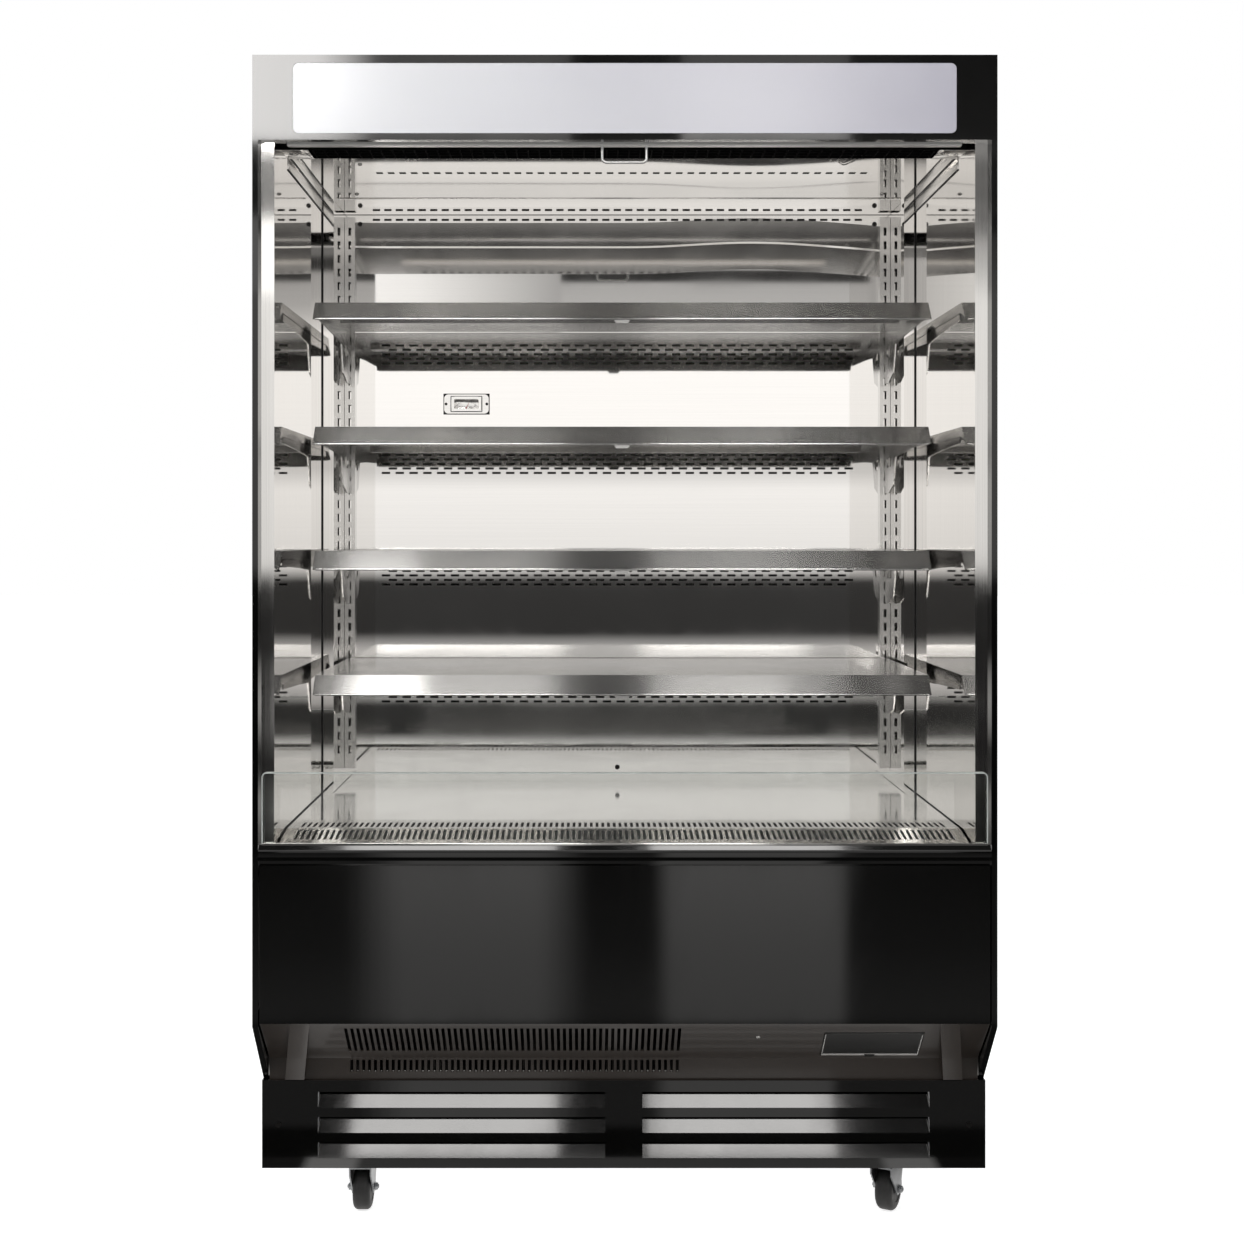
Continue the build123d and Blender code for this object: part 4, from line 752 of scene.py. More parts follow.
# black lines of painted shade, for the liner's joints and the thermometer's outlines
SHADE_LINE_BLACK = Rubber("black_painted_shade_line", "black_outlet", (0.008, 0.008, 0.008), 0.45)
TUBE_COPPER = Copper("copper_tube", "coil_fins", (0.78, 0.40, 0.25), 0.28)


def dress(finish: Finish, *nodes: str) -> None:
    """Gives frame nodes their finish.

    Args:
        finish: The finish.
        nodes: Names of the nodes.
    """
    for name in nodes:
        slots = frame["nodes"][name].data.materials
        slots.clear()
        slots.append(material_of(finish))
        log.info("node %s is %s", name, finish.name)


def joint(name: str) -> dict:
    """Returns the frame's joint of that name."""
    return next(j for j in frame["joints"] if j["name"] == name)


class SubAssembly:
    """One part of the cabinet: it dresses its frame nodes and builds its own small pieces."""

    def dress(self) -> None:
        """Gives the frame's nodes their finishes."""

    def build(self) -> None:
        """Makes the pieces that the frame leaves out."""


@dataclass
class Shell(SubAssembly):
    """Outer panels, insulated body and the polished side liners, with black lines of painted shadow in their corners
    and joints.
    """

    shade_line: float = 0.0022
    deck_top: float = 0.696
    fold: float = 0.0035
    fold_angle: float = math.radians(50)
    cove: float = 0.022
    sheet: float = 0.0012

    def dress(self) -> None:
        """Gives the shell its finishes, and its side panels their folded edges."""
        dress(BLACK_PANEL, "side_panel_left", "side_panel_right", "top_panel")
        dress(GALVANISED, "back_panel", "base_pan")
        dress(LINER, "side_wall_left", "side_wall_right", "corner_posts")
        dress(EDGE_TRIM, "side_edge_trims")
        dress(INSULATION, "foam_body")
        dress(BLACK_PLASTIC, "cord_gland")
        for side, _ in SIDES:
            fold = frame["nodes"][f"side_panel_{side}"].modifiers.new("folded_edge", "BEVEL")
            fold.width, fold.segments = self.fold, 4
            fold.limit_method, fold.angle_limit = "ANGLE", self.fold_angle

    def build(self) -> None:
        """Lays black lines of painted shadow in the inner corners of the liners, along the ceiling and under the cove,
        and the cove under the ceiling.
        """
        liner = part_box("corner_posts")[1].x
        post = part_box("corner_posts")[0].y - self.shade_line
        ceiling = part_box("ceiling_panel")[0]
        foot = ceiling.z - self.shade_line - self.cove
        for side, way in SIDES:
            near, far = span(way, liner - self.shade_line, liner)
            # black lines of painted shadow: up the corner, along the ceiling joint and under the cove
            for name, low, high in (
                    ("corner_shade_line", (near, post, self.deck_top), (far, post + self.shade_line, ceiling.z)),
                    ("ceiling_shade_line", (near, ceiling.y, ceiling.z - self.shade_line), (far, post, ceiling.z)),
                    ("cove_shade_line", (near, ceiling.y, foot - self.shade_line), (far, post, foot))):
                bar(f"{name}_{side}", SHADE_LINE_BLACK, low, high, self.shade_line * 0.4, 3)
            near, far = span(way, liner - self.sheet, liner)
            bar(f"ceiling_cove_{side}", UPRIGHT, (near, ceiling.y, foot), (far, post, foot + self.cove),
                self.sheet * 0.3)


@dataclass
class Header(SubAssembly):
    """Sign box over the opening, with its opal plate and the light strips behind it."""

    diode_pitch: float = 0.030
    diode_radius: float = 0.0028
    diode_inset: float = 0.006

    def dress(self) -> None:
        """Gives the header its finishes."""
        dress(BLACK_PANEL, "header_box")
        dress(SIGN, "sign_lens")
        dress(LIGHT_STRIP, "sign_light_bars")

    def build(self) -> None:
        """Sets the diodes on the light strips."""
        low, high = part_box("sign_light_bars")
        dome = [(r * self.diode_radius, h * self.diode_radius) for r, h in DIODE_PROFILE]
        diodes = Form()
        for z in (low.z + self.diode_inset, high.z - self.diode_inset):
            for i in range(int((high.x - low.x) / self.diode_pitch)):
                diodes.lathe(dome, (low.x + self.diode_pitch * (i + 0.5), low.y, z), (0, -1, 0), steps=10)
        diodes.piece("sign_diodes", LIGHT_STRIP)


@dataclass
class NightCurtain(SubAssembly):
    """Night curtain in the header: cassette, wound cloth, its free end and the pull bar."""

    ripple: float = 0.00035
    ripples: int = 13
    grid: tuple[int, int] = (156, 48)          # faces across and down the free end
    turns: float = 5.0
    turn_steps: int = 36
    layer: float = 0.0009
    plug: float = 0.0014
    plug_high: float = 0.011
    gap: float = 0.0005
    cap: float = 0.003

    def dress(self) -> None:
        """Gives the curtain's metal and plastic their finishes."""
        dress(CASSETTE, "curtain_cassette")
        dress(BAR_ALUMINIUM, "curtain_bar")

    def build(self) -> None:
        """Makes the cloth, its roll, and the plugs and caps in the ends of bar and cassette."""
        self.free_end()
        self.roll()
        low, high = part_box("curtain_bar")
        for side, way in SIDES:
            near, far = span(way, high.x, high.x + self.plug)
            bar(f"curtain_bar_plug_{side}", BLACK_PLASTIC, (near, low.y + self.gap, high.z - self.plug_high),
                (far, high.y - self.gap, high.z - self.gap), body="curtain_bar")
        low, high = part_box("curtain_cassette")
        for side, way in SIDES:
            near, far = span(way, high.x, high.x + self.cap)
            bar(f"curtain_end_cap_{side}", BLACK_PLASTIC, (near, low.y, low.z), (far, high.y, high.z), self.cap / 2, 3)

    def free_end(self) -> None:
        """Hangs the cloth between the roller and the pull bar, with the faint ripples of a sheet under pull."""
        low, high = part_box("curtain_sheet")
        middle = (low.y + high.y) / 2
        across, down = self.grid
        form = Form()
        rows = []
        for j in range(down + 1):
            z = high.z + (low.z - high.z) * j / down
            row = []
            for i in range(across + 1):
                x = low.x + (high.x - low.x) * i / across
                sway = self.ripple * math.sin(math.pi * self.ripples * i / across) * math.sin(math.pi * j / down)
                row.append(form.mesh.verts.new((x, middle + sway, z)))
            rows.append(row)
        for one, other in zip(rows, rows[1:]):
            for i in range(across):
                form.mesh.faces.new((one[i], other[i], other[i + 1], one[i + 1]))
        cloth = form.piece("curtain_free_end", CLOTH)
        cloth.parent = None
        cloth.matrix_world = Matrix.Identity(4)
        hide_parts("curtain_sheet")
        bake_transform(cloth)

    def roll(self) -> None:
        """Winds the put-away cloth around the roller as one spiral sheet on a thin tube."""
        low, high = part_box("curtain_roller")
        middle = (low + high) / 2
        outer = (high.z - low.z) / 2
        inner = outer - self.turns * self.layer
        steps = int(self.turns * self.turn_steps)
        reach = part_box("curtain_sheet")[1].x
        path = []
        for i in range(steps + 1):
            a, r = math.tau * self.turns * i / steps, inner + (outer - inner) * i / steps
            path.append((middle.y + r * math.cos(a), middle.z + r * math.sin(a)))
        form = Form()
        pairs = [[form.mesh.verts.new((x, y, z)) for x in (-reach, reach)] for y, z in path]
        for (a, b), (c, d) in zip(pairs, pairs[1:]):
            form.mesh.faces.new((a, b, d, c))
        wound = form.piece("curtain_wound_cloth", CLOTH, "curtain_roller")
        tube = Form().lathe([(inner - self.layer, 0.0), (inner - self.layer, high.x - low.x)],
                            (low.x, middle.y, middle.z), (1, 0, 0), steps=40)
        core = tube.piece("curtain_roller_tube", BAR_ALUMINIUM, "curtain_roller")
        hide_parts("curtain_roller")


@dataclass
class Ceiling(SubAssembly):
    """Ceiling sheet, lowered duct cover and black air outlet, with their joint, screws and clip."""

    joint_depth: float = 0.486
    joint_half: float = 0.572
    joint_wide: float = 0.010
    joint_thick: float = 0.0011
    lone_screw: tuple[float, float] = (-0.4806, 0.178)
    screw_at: tuple[float, float] = (0.526, 0.450)
    rivets: tuple[float, ...] = (0.376, 0.389)
    rivet_inset: float = 0.012
    clip_at: tuple[tuple[float, float], ...] = ((0.391, 0.151), (0.404, 0.176), (0.419, 0.140))
    clip_wire: float = 0.0013
    clip_drop: float = 0.0022
    outlet_half: float = 0.556
    outlet_depths: tuple[float, float] = (0.070, 0.134)
    plate: float = 0.0012

    def dress(self) -> None:
        """Gives the ceiling its finishes."""
        dress(CEILING, "ceiling_panel", "ceiling_duct_cover")
        dress(OUTLET, "air_honeycomb")

    def build(self) -> None:
        """Makes the lapped joint across the ceiling, its screws, the wire clip and the outlet's end plates."""
        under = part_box("ceiling_panel")[0].z
        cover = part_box("ceiling_duct_cover")[0]
        y = behind(self.joint_depth)
        bar("ceiling_joint_lap", CEILING, (-self.joint_half, y, under - self.joint_thick),
            (self.joint_half, y + self.joint_wide, under), 0.0004)
        screws = Form()
        x, depth = self.lone_screw
        pan_head(screws, (x, behind(depth), cover.z), (0, 0, -1), 0.0042)
        x, depth = self.screw_at
        for _, way in SIDES:
            pan_head(screws, (way * x, behind(depth), under), (0, 0, -1), 0.0045)
            for rivet in self.rivets:
                pan_head(screws, (way * rivet, cover.y + self.rivet_inset, cover.z), (0, 0, -1), 0.0022)
        screws.piece("ceiling_screws", SCREW)
        hook = [(x, behind(depth), cover.z - self.clip_drop) for x, depth in self.clip_at]
        root = (hook[0][0], hook[0][1], cover.z + 0.001)
        Form().tube(bent([root, *hook], 0.004), self.clip_wire, 10).piece("duct_cover_clip", SCREW)
        start, end = (behind(depth) for depth in self.outlet_depths)
        top = cover.z - self.plate
        for side, way in SIDES:
            near, far = span(way, self.outlet_half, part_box("corner_posts")[1].x)
            bar(f"outlet_end_{side}", CEILING, (near, start, top), (far, end, top + self.plate), self.plate * 0.3)


@dataclass
class Display(SubAssembly):
    """Inside of the cabinet: back wall, uprights, deck and thermometer."""

    card_half: tuple[float, float] = (0.026, 0.010)
    card_depth: float = 0.0016
    card_thick: float = 0.0009
    shade_rim: float = 0.0018
    frame_half: Triple = (0.033, 0.0163, 0.0165)   # half width, half height, half of an upright
    frame_depths: tuple[float, float] = (0.0036, 0.0041)
    ticks: int = 13
    tick_turn: tuple[float, float] = (20.0, 140.0)                      # first tick and sweep, in degrees
    tick_radii: Triple = (0.0145, 0.0165, 0.0190)   # start of a long tick, of a short one, end
    tick_flat: tuple[float, float] = (1.25, 0.82)
    tick_half: float = 0.00035
    needle_angle: float = math.radians(62)
    needle_long: float = 0.015
    needle_half: float = 0.0009
    screw_reach: float = 0.0435

    def dress(self) -> None:
        """Gives the inside its finishes."""
        dress(BACK_WALL, "back_duct_panel")
        dress(UPRIGHT, "shelf_uprights")
        dress(BRACKET, "shelf_brackets")
        dress(DECK, "deck_pan")
        dress(GRILLE_STEEL, "return_air_grille")
        dress(THERMOMETER, "thermometer")
        dress(BLACK_SCREW, "screws")

    def build(self) -> None:
        """Makes the thermometer's scale card, its dark outlines of painted shade, ticks and needle, and the screws at
        both ends.
        """
        low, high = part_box("thermometer")
        middle = (low + high) / 2
        wide, tall = self.card_half
        card = low.y + self.card_depth
        bar("thermometer_card", THERMOMETER, (middle.x - wide, card, middle.z - tall),
            (middle.x + wide, card + self.card_thick, middle.z + tall), 0.0003)
        self.shade_outlines(low, high, middle)
        foot = Vector((middle.x, card - 0.0006, middle.z - 0.0085))
        self.scale(foot)
        out = Vector((math.cos(self.needle_angle), 0, math.sin(self.needle_angle)))
        side = Vector((-out.z, 0, out.x)) * self.needle_half
        needle = Form().prism([foot - side, foot + out * self.needle_long, foot + side], (0, -0.0004, 0))
        needle.lathe([(0.0018, 0.0), (0.0014, 0.0009)], foot, (0, -1, 0), steps=16)
        needle.piece("thermometer_needle", DIAL_RED)
        ends = Form()
        for _, way in SIDES:
            pan_head(ends, (middle.x + way * self.screw_reach, low.y + 0.0040, middle.z), (0, -1, 0), 0.0030)
        ends.piece("thermometer_screws", BLACK_SCREW)

    def shade_outlines(self, low: Vector, high: Vector, middle: Vector) -> None:
        """Makes the dark outline behind the thermometer and the dark frame around its window, both painted shade.

        Args:
            low: Lowest corner of the thermometer.
            high: Highest corner of the thermometer.
            middle: Its middle.
        """
        shade_outlines = Form()
        # dark rim of painted shade around the thermometer's outline
        shade_outlines.slab((low.x - self.shade_rim, high.y - 0.001, low.z - self.shade_rim),
                   (high.x + self.shade_rim, high.y, high.z + self.shade_rim), 0.0004)
        near, far = (low.y + depth for depth in self.frame_depths)
        wide, tall, stile = self.frame_half
        # dark frame of painted shade lines around the window
        for _, way in SIDES:
            x, z = middle.x + way * wide, middle.z + way * tall
            shade_outlines.slab((x - 0.001, near, middle.z - stile), (x + 0.001, far, middle.z + stile), 0.0002)
            shade_outlines.slab((middle.x - wide, near, z - 0.0008), (middle.x + wide, far, z + 0.0008), 0.0002)
        shade_outlines.piece("thermometer_shade_outlines", SHADE_LINE_BLACK)

    def scale(self, foot: Vector) -> None:
        """Makes the ticks of the scale, fanned around the foot of the needle."""
        ticks = Form()
        first, sweep = self.tick_turn
        long, short, end = self.tick_radii
        for i in range(self.ticks):
            a = math.radians(first + sweep * i / (self.ticks - 1))
            out = Vector((math.cos(a) * self.tick_flat[0], 0, math.sin(a) * self.tick_flat[1]))
            side = Vector((-out.z, 0, out.x)) * self.tick_half
            start, stop = foot + out * (short if i % 3 else long), foot + out * end
            ticks.prism([start - side, stop - side, stop + side, start + side], (0, 0.0005, 0))
        ticks.piece("thermometer_ticks", BLACK_PLASTIC)


@dataclass
class Shelves(SubAssembly):
    """The four shelf trays, each with the small stop tab under the middle of its lip."""

    count: int = 4
    tab_half: float = 0.015
    tab_taper: float = 0.004
    tab_high: float = 0.0055
    tab_thick: float = 0.0012
    tab_lap: float = 0.0008
    tab_inset: float = 0.002

    def dress(self) -> None:
        """Gives the trays their finish."""
        dress(SHELF, *(f"shelf_tray_{n}" for n in range(1, self.count + 1)))

    def build(self) -> None:
        """Makes the stop tabs."""
        wide, narrow = self.tab_half, self.tab_half - self.tab_taper
        for n in range(1, self.count + 1):
            low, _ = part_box(f"shelf_tray_{n}")
            top, bottom, y = low.z + self.tab_lap, low.z - self.tab_high, low.y + self.tab_inset
            Form().prism([(-wide, y, top), (wide, y, top), (narrow, y, bottom), (-narrow, y, bottom)],
                         (0, self.tab_thick, 0)).piece(f"shelf_{n}_stop_tab", SHELF, f"shelf_{n}")


@dataclass
class LowerFront(SubAssembly):
    """Glass guard, bumper rail, gloss lower panel and the undercut with its controller window."""

    edge_thick: float = 0.0007
    edge_proud: float = 0.0002
    edge_round: float = 0.0008
    glass_bend: float = 0.008
    glass_foot: float = 0.012
    slope_run: float = 0.085
    slope_drop: float = 0.0875
    flap_inset: float = 0.001
    flap_line: float = 0.0014
    flap_edge_painted_highlight: Triple = (0.0380, 0.1055, 0.1100)    # down the slope: top of the sides, top and end of the foot
    flap_lift: float = 0.0009
    lock_at: Triple = (0.233, 0.046, 0.0002)
    burrs: int = 56
    burr_pitch: float = 0.0105
    burr_middle: float = -0.1935
    burr_half: float = 0.0016
    burr_z: tuple[float, float] = (0.2688, 0.2708)
    baffle_wide: float = 0.040
    baffle_depths: tuple[float, float] = (0.118, 0.1195)
    baffle_z: tuple[float, float] = (0.103, 0.372)

    def dress(self) -> None:
        """Gives the lower front its finishes."""
        dress(GUARD_GLASS, "glass_guard")
        dress(BLACK_PANEL, "bumper_rail", "lower_front_panel")
        dress(LIT_BLACK_UNDERCUT, "undercut_panel")
        dress(BLACK_PLASTIC, "controller_box")
        dress(SMOKE, "controller_flap")

    def build(self) -> None:
        """Adds the painted highlight on the glass's edges, its foot strip, and the small pieces of the undercut and
        behind it.
        """
        self.glass_edges()
        self.flap_edge_highlights()
        self.undercut_fittings()

    def glass_edges(self) -> None:
        """Runs a pale strip around the glass's edge as its painted highlight, and the polished strip along its foot.
        """
        low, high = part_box("glass_guard")
        bend, step, foot = self.glass_bend, self.edge_thick, low.z + self.glass_foot
        corner = [(high.x - bend + bend * math.sin(a), high.z - bend + bend * math.cos(a))
                  for a in (math.radians(9 * i) for i in range(11))]
        outline = [(high.x, foot), *reversed(corner), *[(-x, z) for x, z in corner], (-high.x, foot)]
        front, back = low.y - self.edge_proud, high.y + self.edge_proud
        profile = ((front, -step * 2), (front, step * 0.6), (low.y + self.edge_round, step),
                   (high.y - self.edge_round, step), (back, step * 0.6), (back, -step * 2))
        rings = []
        for x, z in outline:
            if z < high.z - bend - 1e-6:
                out = Vector((math.copysign(1, x), 0, 0))
            else:
                inner = math.copysign(min(abs(x), high.x - bend), x)
                out = Vector((x - inner, 0, z - high.z + bend)).normalized()
            rings.append([Vector((x, y, z)) + out * o for y, o in profile])
        # pale strip of painted highlight around the glass's edge
        Form().loft(rings).piece("guard_edge_painted_highlight", GLASS_EDGE_HIGHLIGHT)
        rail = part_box("bumper_rail")[1].z
        bar("guard_foot_strip", EDGE_TRIM, (low.x, low.y - 0.0026, rail - 0.0006),
            (high.x, low.y - 0.0003, rail + 0.0034), 0.0008, 3)

    def on_slope(self, x: float, along: float, out: float) -> Vector:
        """Returns a point on the undercut, along metres down its slope and out metres away from it."""
        low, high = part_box("undercut_panel")        # the slope starts at its front upper edge
        fall = Vector((0, self.slope_run, -self.slope_drop)).normalized()
        return Vector((x, low.y, high.z)) + fall * along + fall.cross(Vector((1, 0, 0))) * out

    def flap_edge_highlights(self) -> None:
        """Adds pale strips at the foot and the sides of the controller flap, the painted highlight of its edges."""
        low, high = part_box("controller_flap")
        left, right, line = low.x + self.flap_inset, high.x - self.flap_inset, self.flap_line
        top, foot, end = self.flap_edge_painted_highlight
        out = self.on_slope(0, 0, self.flap_lift) - self.on_slope(0, 0, 0)
        edges = Form()
        for near, far, start, stop in ((left, right, foot, end), (left, left + line, top, foot),
                                       (right - line, right, top, foot)):
            edges.prism([self.on_slope(x, along, 0.0) for x, along in
                         ((near, start), (far, start), (far, stop), (near, stop))], out)
        # pale strips of painted highlight on the flap's edges
        edges.piece("flap_edge_highlights", FLAP_EDGE_HIGHLIGHT, "controller_flap")

    def undercut_fittings(self) -> None:
        """Adds the undercut's screw, the burrs of its lower slots and the baffle beside the coil."""
        lock = Form()
        out = self.on_slope(0, 0, self.flap_lift) - self.on_slope(0, 0, 0)
        pan_head(lock, self.on_slope(*self.lock_at), out, 0.0042)
        lock.piece("undercut_screw", SCREW)
        burrs = Form()
        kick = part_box("undercut_panel")[1].y - 0.0018
        bottom, top = self.burr_z
        for i in range(self.burrs):
            x = self.burr_middle + (i - (self.burrs - 1) / 2) * self.burr_pitch
            burrs.slab((x - self.burr_half, kick, bottom), (x + self.burr_half, kick + 0.0012, top), 0.0004, 1)
        burrs.piece("kick_slot_burrs", SCREW)
        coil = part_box("condenser_coil")[0].x
        near, far = (behind(depth) for depth in self.baffle_depths)
        bottom, top = self.baffle_z
        bar("coil_baffle", BLACK_PLASTIC, (coil - self.baffle_wide, near, bottom), (coil, far, top), 0.0005)


@dataclass
class Plinth(SubAssembly):
    """Black louvred grille and side covers around the machine bay."""

    def dress(self) -> None:
        """Gives the plinth its finishes."""
        dress(BLACK_PANEL, "plinth_grille", "plinth_sides")


@dataclass
class MachineBay(SubAssembly):
    """Condensing unit under the body and the cooling coil under the deck, with their guards and pipes."""

    pipe: float = 0.0048
    thin_pipe: float = 0.0032
    pipe_bend: float = 0.016
    body_under: float = 0.398
    guard_wire: float = 0.0011
    guard_rings: int = 5
    guard_gap: float = 0.010
    bend_reach: float = 0.016
    terminal: tuple[float, float] = (0.052, 0.112)
    foot_at: tuple[float, float] = (0.070, 0.060)

    def dress(self) -> None:
        """Gives the machinery its finishes."""
        dress(DARK_COIL, "condenser_coil")
        dress(COIL, "evaporator_coil")
        dress(GALVANISED, "condenser_fan_plate", "evaporator_fan_deck", "drip_tray")
        dress(FAN_PLASTIC, "condenser_fan", "evaporator_fan_left", "evaporator_fan_right")
        dress(COMPRESSOR, "compressor")

    def build(self) -> None:
        """Adds guards, pipework and the compressor's fittings."""
        for fan, radius in (("condenser_fan", 0.100), ("evaporator_fan_left", 0.090), ("evaporator_fan_right", 0.090)):
            self.guard(fan, radius)
        for coil, rows in (("condenser_coil", 7), ("evaporator_coil", 5)):
            self.return_bends(coil, rows)
        self.pipework()
        self.compressor_fittings()

    def guard(self, fan: str, radius: float) -> None:
        """Makes the wire guard on the plate in front of a fan.

        Args:
            fan: Name of the fan's node.
            radius: Radius of the outermost wire.
        """
        x, _, z = joint(f"{fan}_spin")["pos_m"]
        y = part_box(fan)[0].y - self.guard_gap
        form = Form()
        for i in range(self.guard_rings):
            size = radius * (i + 1) / self.guard_rings
            form.tube(ring((x, y, z), size, steps=40), self.guard_wire, 6, closed=True)
        for k in range(4):
            a = math.tau * k / 4 + math.pi / 4
            out = Vector((math.cos(a), 0, math.sin(a)))
            inner = Vector((x, y - self.guard_wire, z)) + out * radius * 0.18
            form.tube([inner, inner + out * radius * 0.80], self.guard_wire * 1.3, 6)
        form.piece(f"{fan}_guard", SCREW)

    def return_bends(self, coil: str, rows: int) -> None:
        """Makes the copper bends at the end of a coil.

        Args:
            coil: Name of the coil's node.
            rows: Rows of tubes, one above the other.
        """
        low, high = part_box(coil)
        form = Form()
        pitch = (high.z - low.z - 0.03) / rows
        root, reach = high.x - 0.002, high.x + self.bend_reach
        for share in (0.3, 0.7):
            y = low.y + (high.y - low.y) * share
            for i in range(0, rows - 1, 2):
                z = low.z + 0.02 + pitch * i
                path = bent([(root, y, z), (reach, y, z), (reach, y, z + pitch), (root, y, z + pitch)],
                            pitch * 0.48, 8)
                form.tube(path, self.pipe, 10)
        form.piece(f"{coil}_bends", TUBE_COPPER)

    def pipework(self) -> None:
        """Runs the discharge, suction and liquid pipes between compressor, coil and body."""
        can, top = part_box("compressor")
        coil, coil_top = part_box("condenser_coil")
        x, y = (can.x + top.x) / 2, (can.y + top.y) / 2
        stub, back = top.z - 0.045, coil_top.y - 0.018
        side, rise, run, inlet = x - 0.052, top.z + 0.035, y - 0.035, coil_top.x - 0.004
        discharge = [(side, run, stub), (side, run, rise), (coil_top.x + 0.045, run, rise),
                     (coil_top.x + 0.045, back, rise), (inlet, back, rise)]
        side, rise, run = x + 0.050, top.z + 0.050, y + 0.030
        suction = [(side, run, stub), (side, run, rise), (x + 0.170, run, rise), (x + 0.170, run, self.body_under)]
        side, rise, run = coil_top.x + 0.030, coil.z + 0.022, y + 0.105
        liquid = [(inlet, back, rise), (side, back, rise), (side, run, rise), (x + 0.200, run, rise),
                  (x + 0.200, run, self.body_under)]
        for name, route, radius in (("discharge", discharge, self.thin_pipe), ("suction", suction, self.pipe),
                                    ("liquid", liquid, self.thin_pipe)):
            Form().tube(bent(route, self.pipe_bend, 6), radius, 12).piece(f"{name}_pipe", TUBE_COPPER)

    def compressor_fittings(self) -> None:
        """Adds the compressor's terminal cover and its four rubber feet with their nuts."""
        low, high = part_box("compressor")
        x, y = (low.x + high.x) / 2, (low.y + high.y) / 2
        bottom, top = (low.z + rise for rise in self.terminal)
        bar("compressor_terminal_cover", BLACK_PLASTIC, (x - 0.030, low.y - 0.026, bottom),
            (x + 0.030, low.y + 0.006, top), 0.005, 3)
        feet, nuts = Form(), Form()
        profile = [(0.013, 0.0), (0.014, 0.004), (0.010, 0.009), (0.013, 0.013), (0.009, 0.016)]
        for _, dx in SIDES:
            for _, dy in SIDES:
                place = Vector((x + dx * self.foot_at[0], y + dy * self.foot_at[1], low.z))
                feet.lathe(profile, place, (0, 0, 1), steps=20)
                hex_nut(nuts, place + Vector((0, 0, profile[-1][1])), (0, 0, 1), 0.0062, 0.005)
        feet.piece("compressor_feet", TYRE)
        nuts.piece("compressor_foot_nuts", SHADED_CASTER_ZINC)


@dataclass
class Casters(SubAssembly):
    """Four swivel casters, with the nuts on their axle bolts."""

    corners: tuple[str, ...] = ("front_left", "front_right", "rear_left", "rear_right")
    nut_reach: float = 0.0215
    nut_radius: float = 0.0068

    def dress(self) -> None:
        """Gives the casters their finishes."""
        dress(SHADED_CASTER_ZINC, "caster_plates", *(f"caster_fork_{c}" for c in self.corners))
        dress(TYRE, *(f"caster_wheel_{c}" for c in self.corners))
        dress(PEDAL, "caster_pedal_front_left", "caster_pedal_front_right")

    def build(self) -> None:
        """Puts the nut and the bolt head on the axle at each corner."""
        for corner in self.corners:
            axis = Vector(joint(f"wheel_{corner}_roll")["axis"]).normalized()
            low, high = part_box(f"caster_wheel_{corner}")
            nuts = Form()
            for way, thick in ((axis, 0.0055), (-axis, 0.0045)):
                hex_nut(nuts, (low + high) / 2 + way * self.nut_reach, way, self.nut_radius, thick)
            nuts.piece(f"caster_axle_nuts_{corner}", SHADED_CASTER_ZINC, f"caster_{corner}")


# ---------------------------------------------------------------------------------------------------------------
# Studio


def pane(name: str, corners: Corners, material: bpy.types.Material) -> bpy.types.Object:
    """Makes a flat object with one face.

    Args:
        name: Name of the object.
        corners: Its corners, in order.
        material: Its material.

    Returns:
        The new object.
    """
    data = bpy.data.meshes.new(name)
    data.from_pydata([Vector(corner) for corner in corners], [], [(0, 1, 2, 3)])
    data.materials.append(material)
    return link(bpy.data.objects.new(name, data))


@dataclass(frozen=True)
class Lamp:
    """A soft area lamp that lights matt surfaces."""

    name: str
    place: Triple
    aim: Triple
    wide: float
    high: float
    power: float

    def build(self) -> None:
        """Sets the lamp up."""
        data = bpy.data.lights.new(self.name, "AREA")
        data.shape = "RECTANGLE"
        data.size, data.size_y, data.energy = self.wide, self.high, self.power
        lamp = link(bpy.data.objects.new(self.name, data))
        lamp.location = self.place
        lamp.rotation_euler = (Vector(self.aim) - Vector(self.place)).to_track_quat("-Z", "Y").to_euler()
        lamp.visible_camera = lamp.visible_glossy = False


@dataclass(frozen=True)
class Card:
    """A reflector card that only polished surfaces see, glowing by a row of levels along one of its axes.

    Levels are pairs of place and brightness. Two of them close together are an edge.
    """

    name: str
    corners: Corners
    along: str
    levels: tuple[tuple[float, float], ...]
    tint: Triple = (1.0, 0.982, 0.962)

    def build(self) -> None:
        """Hangs the card up."""
        g = Graph(bpy.data.materials.new(self.name))
        place = g.axis(self.along)
        level = self.levels[0][1]
        for (start, low), (end, high) in zip(self.levels, self.levels[1:]):
            level = g.sum("ADD", level, g.spread(place, 0.0, high - low, start, end))
        glow = g.feed(g.node("ShaderNodeEmission"), Color=shade(self.tint, 1.0), Strength=level)
        card = pane(self.name, self.corners, g.close(glow))
        card.visible_camera = card.visible_diffuse = card.visible_shadow = card.visible_volume_scatter = False


def upright(x0: float, x1: float, y: float, z0: float, z1: float) -> Corners:
    """Returns the corners of an upright card at one depth."""
    return ((x0, y, z0), (x1, y, z0), (x1, y, z1), (x0, y, z1))


def level_card(x0: float, x1: float, y0: float, y1: float, z: float) -> Corners:
    """Returns the corners of a level card at one height."""
    return ((x0, y0, z), (x1, y0, z), (x1, y1, z), (x0, y1, z))


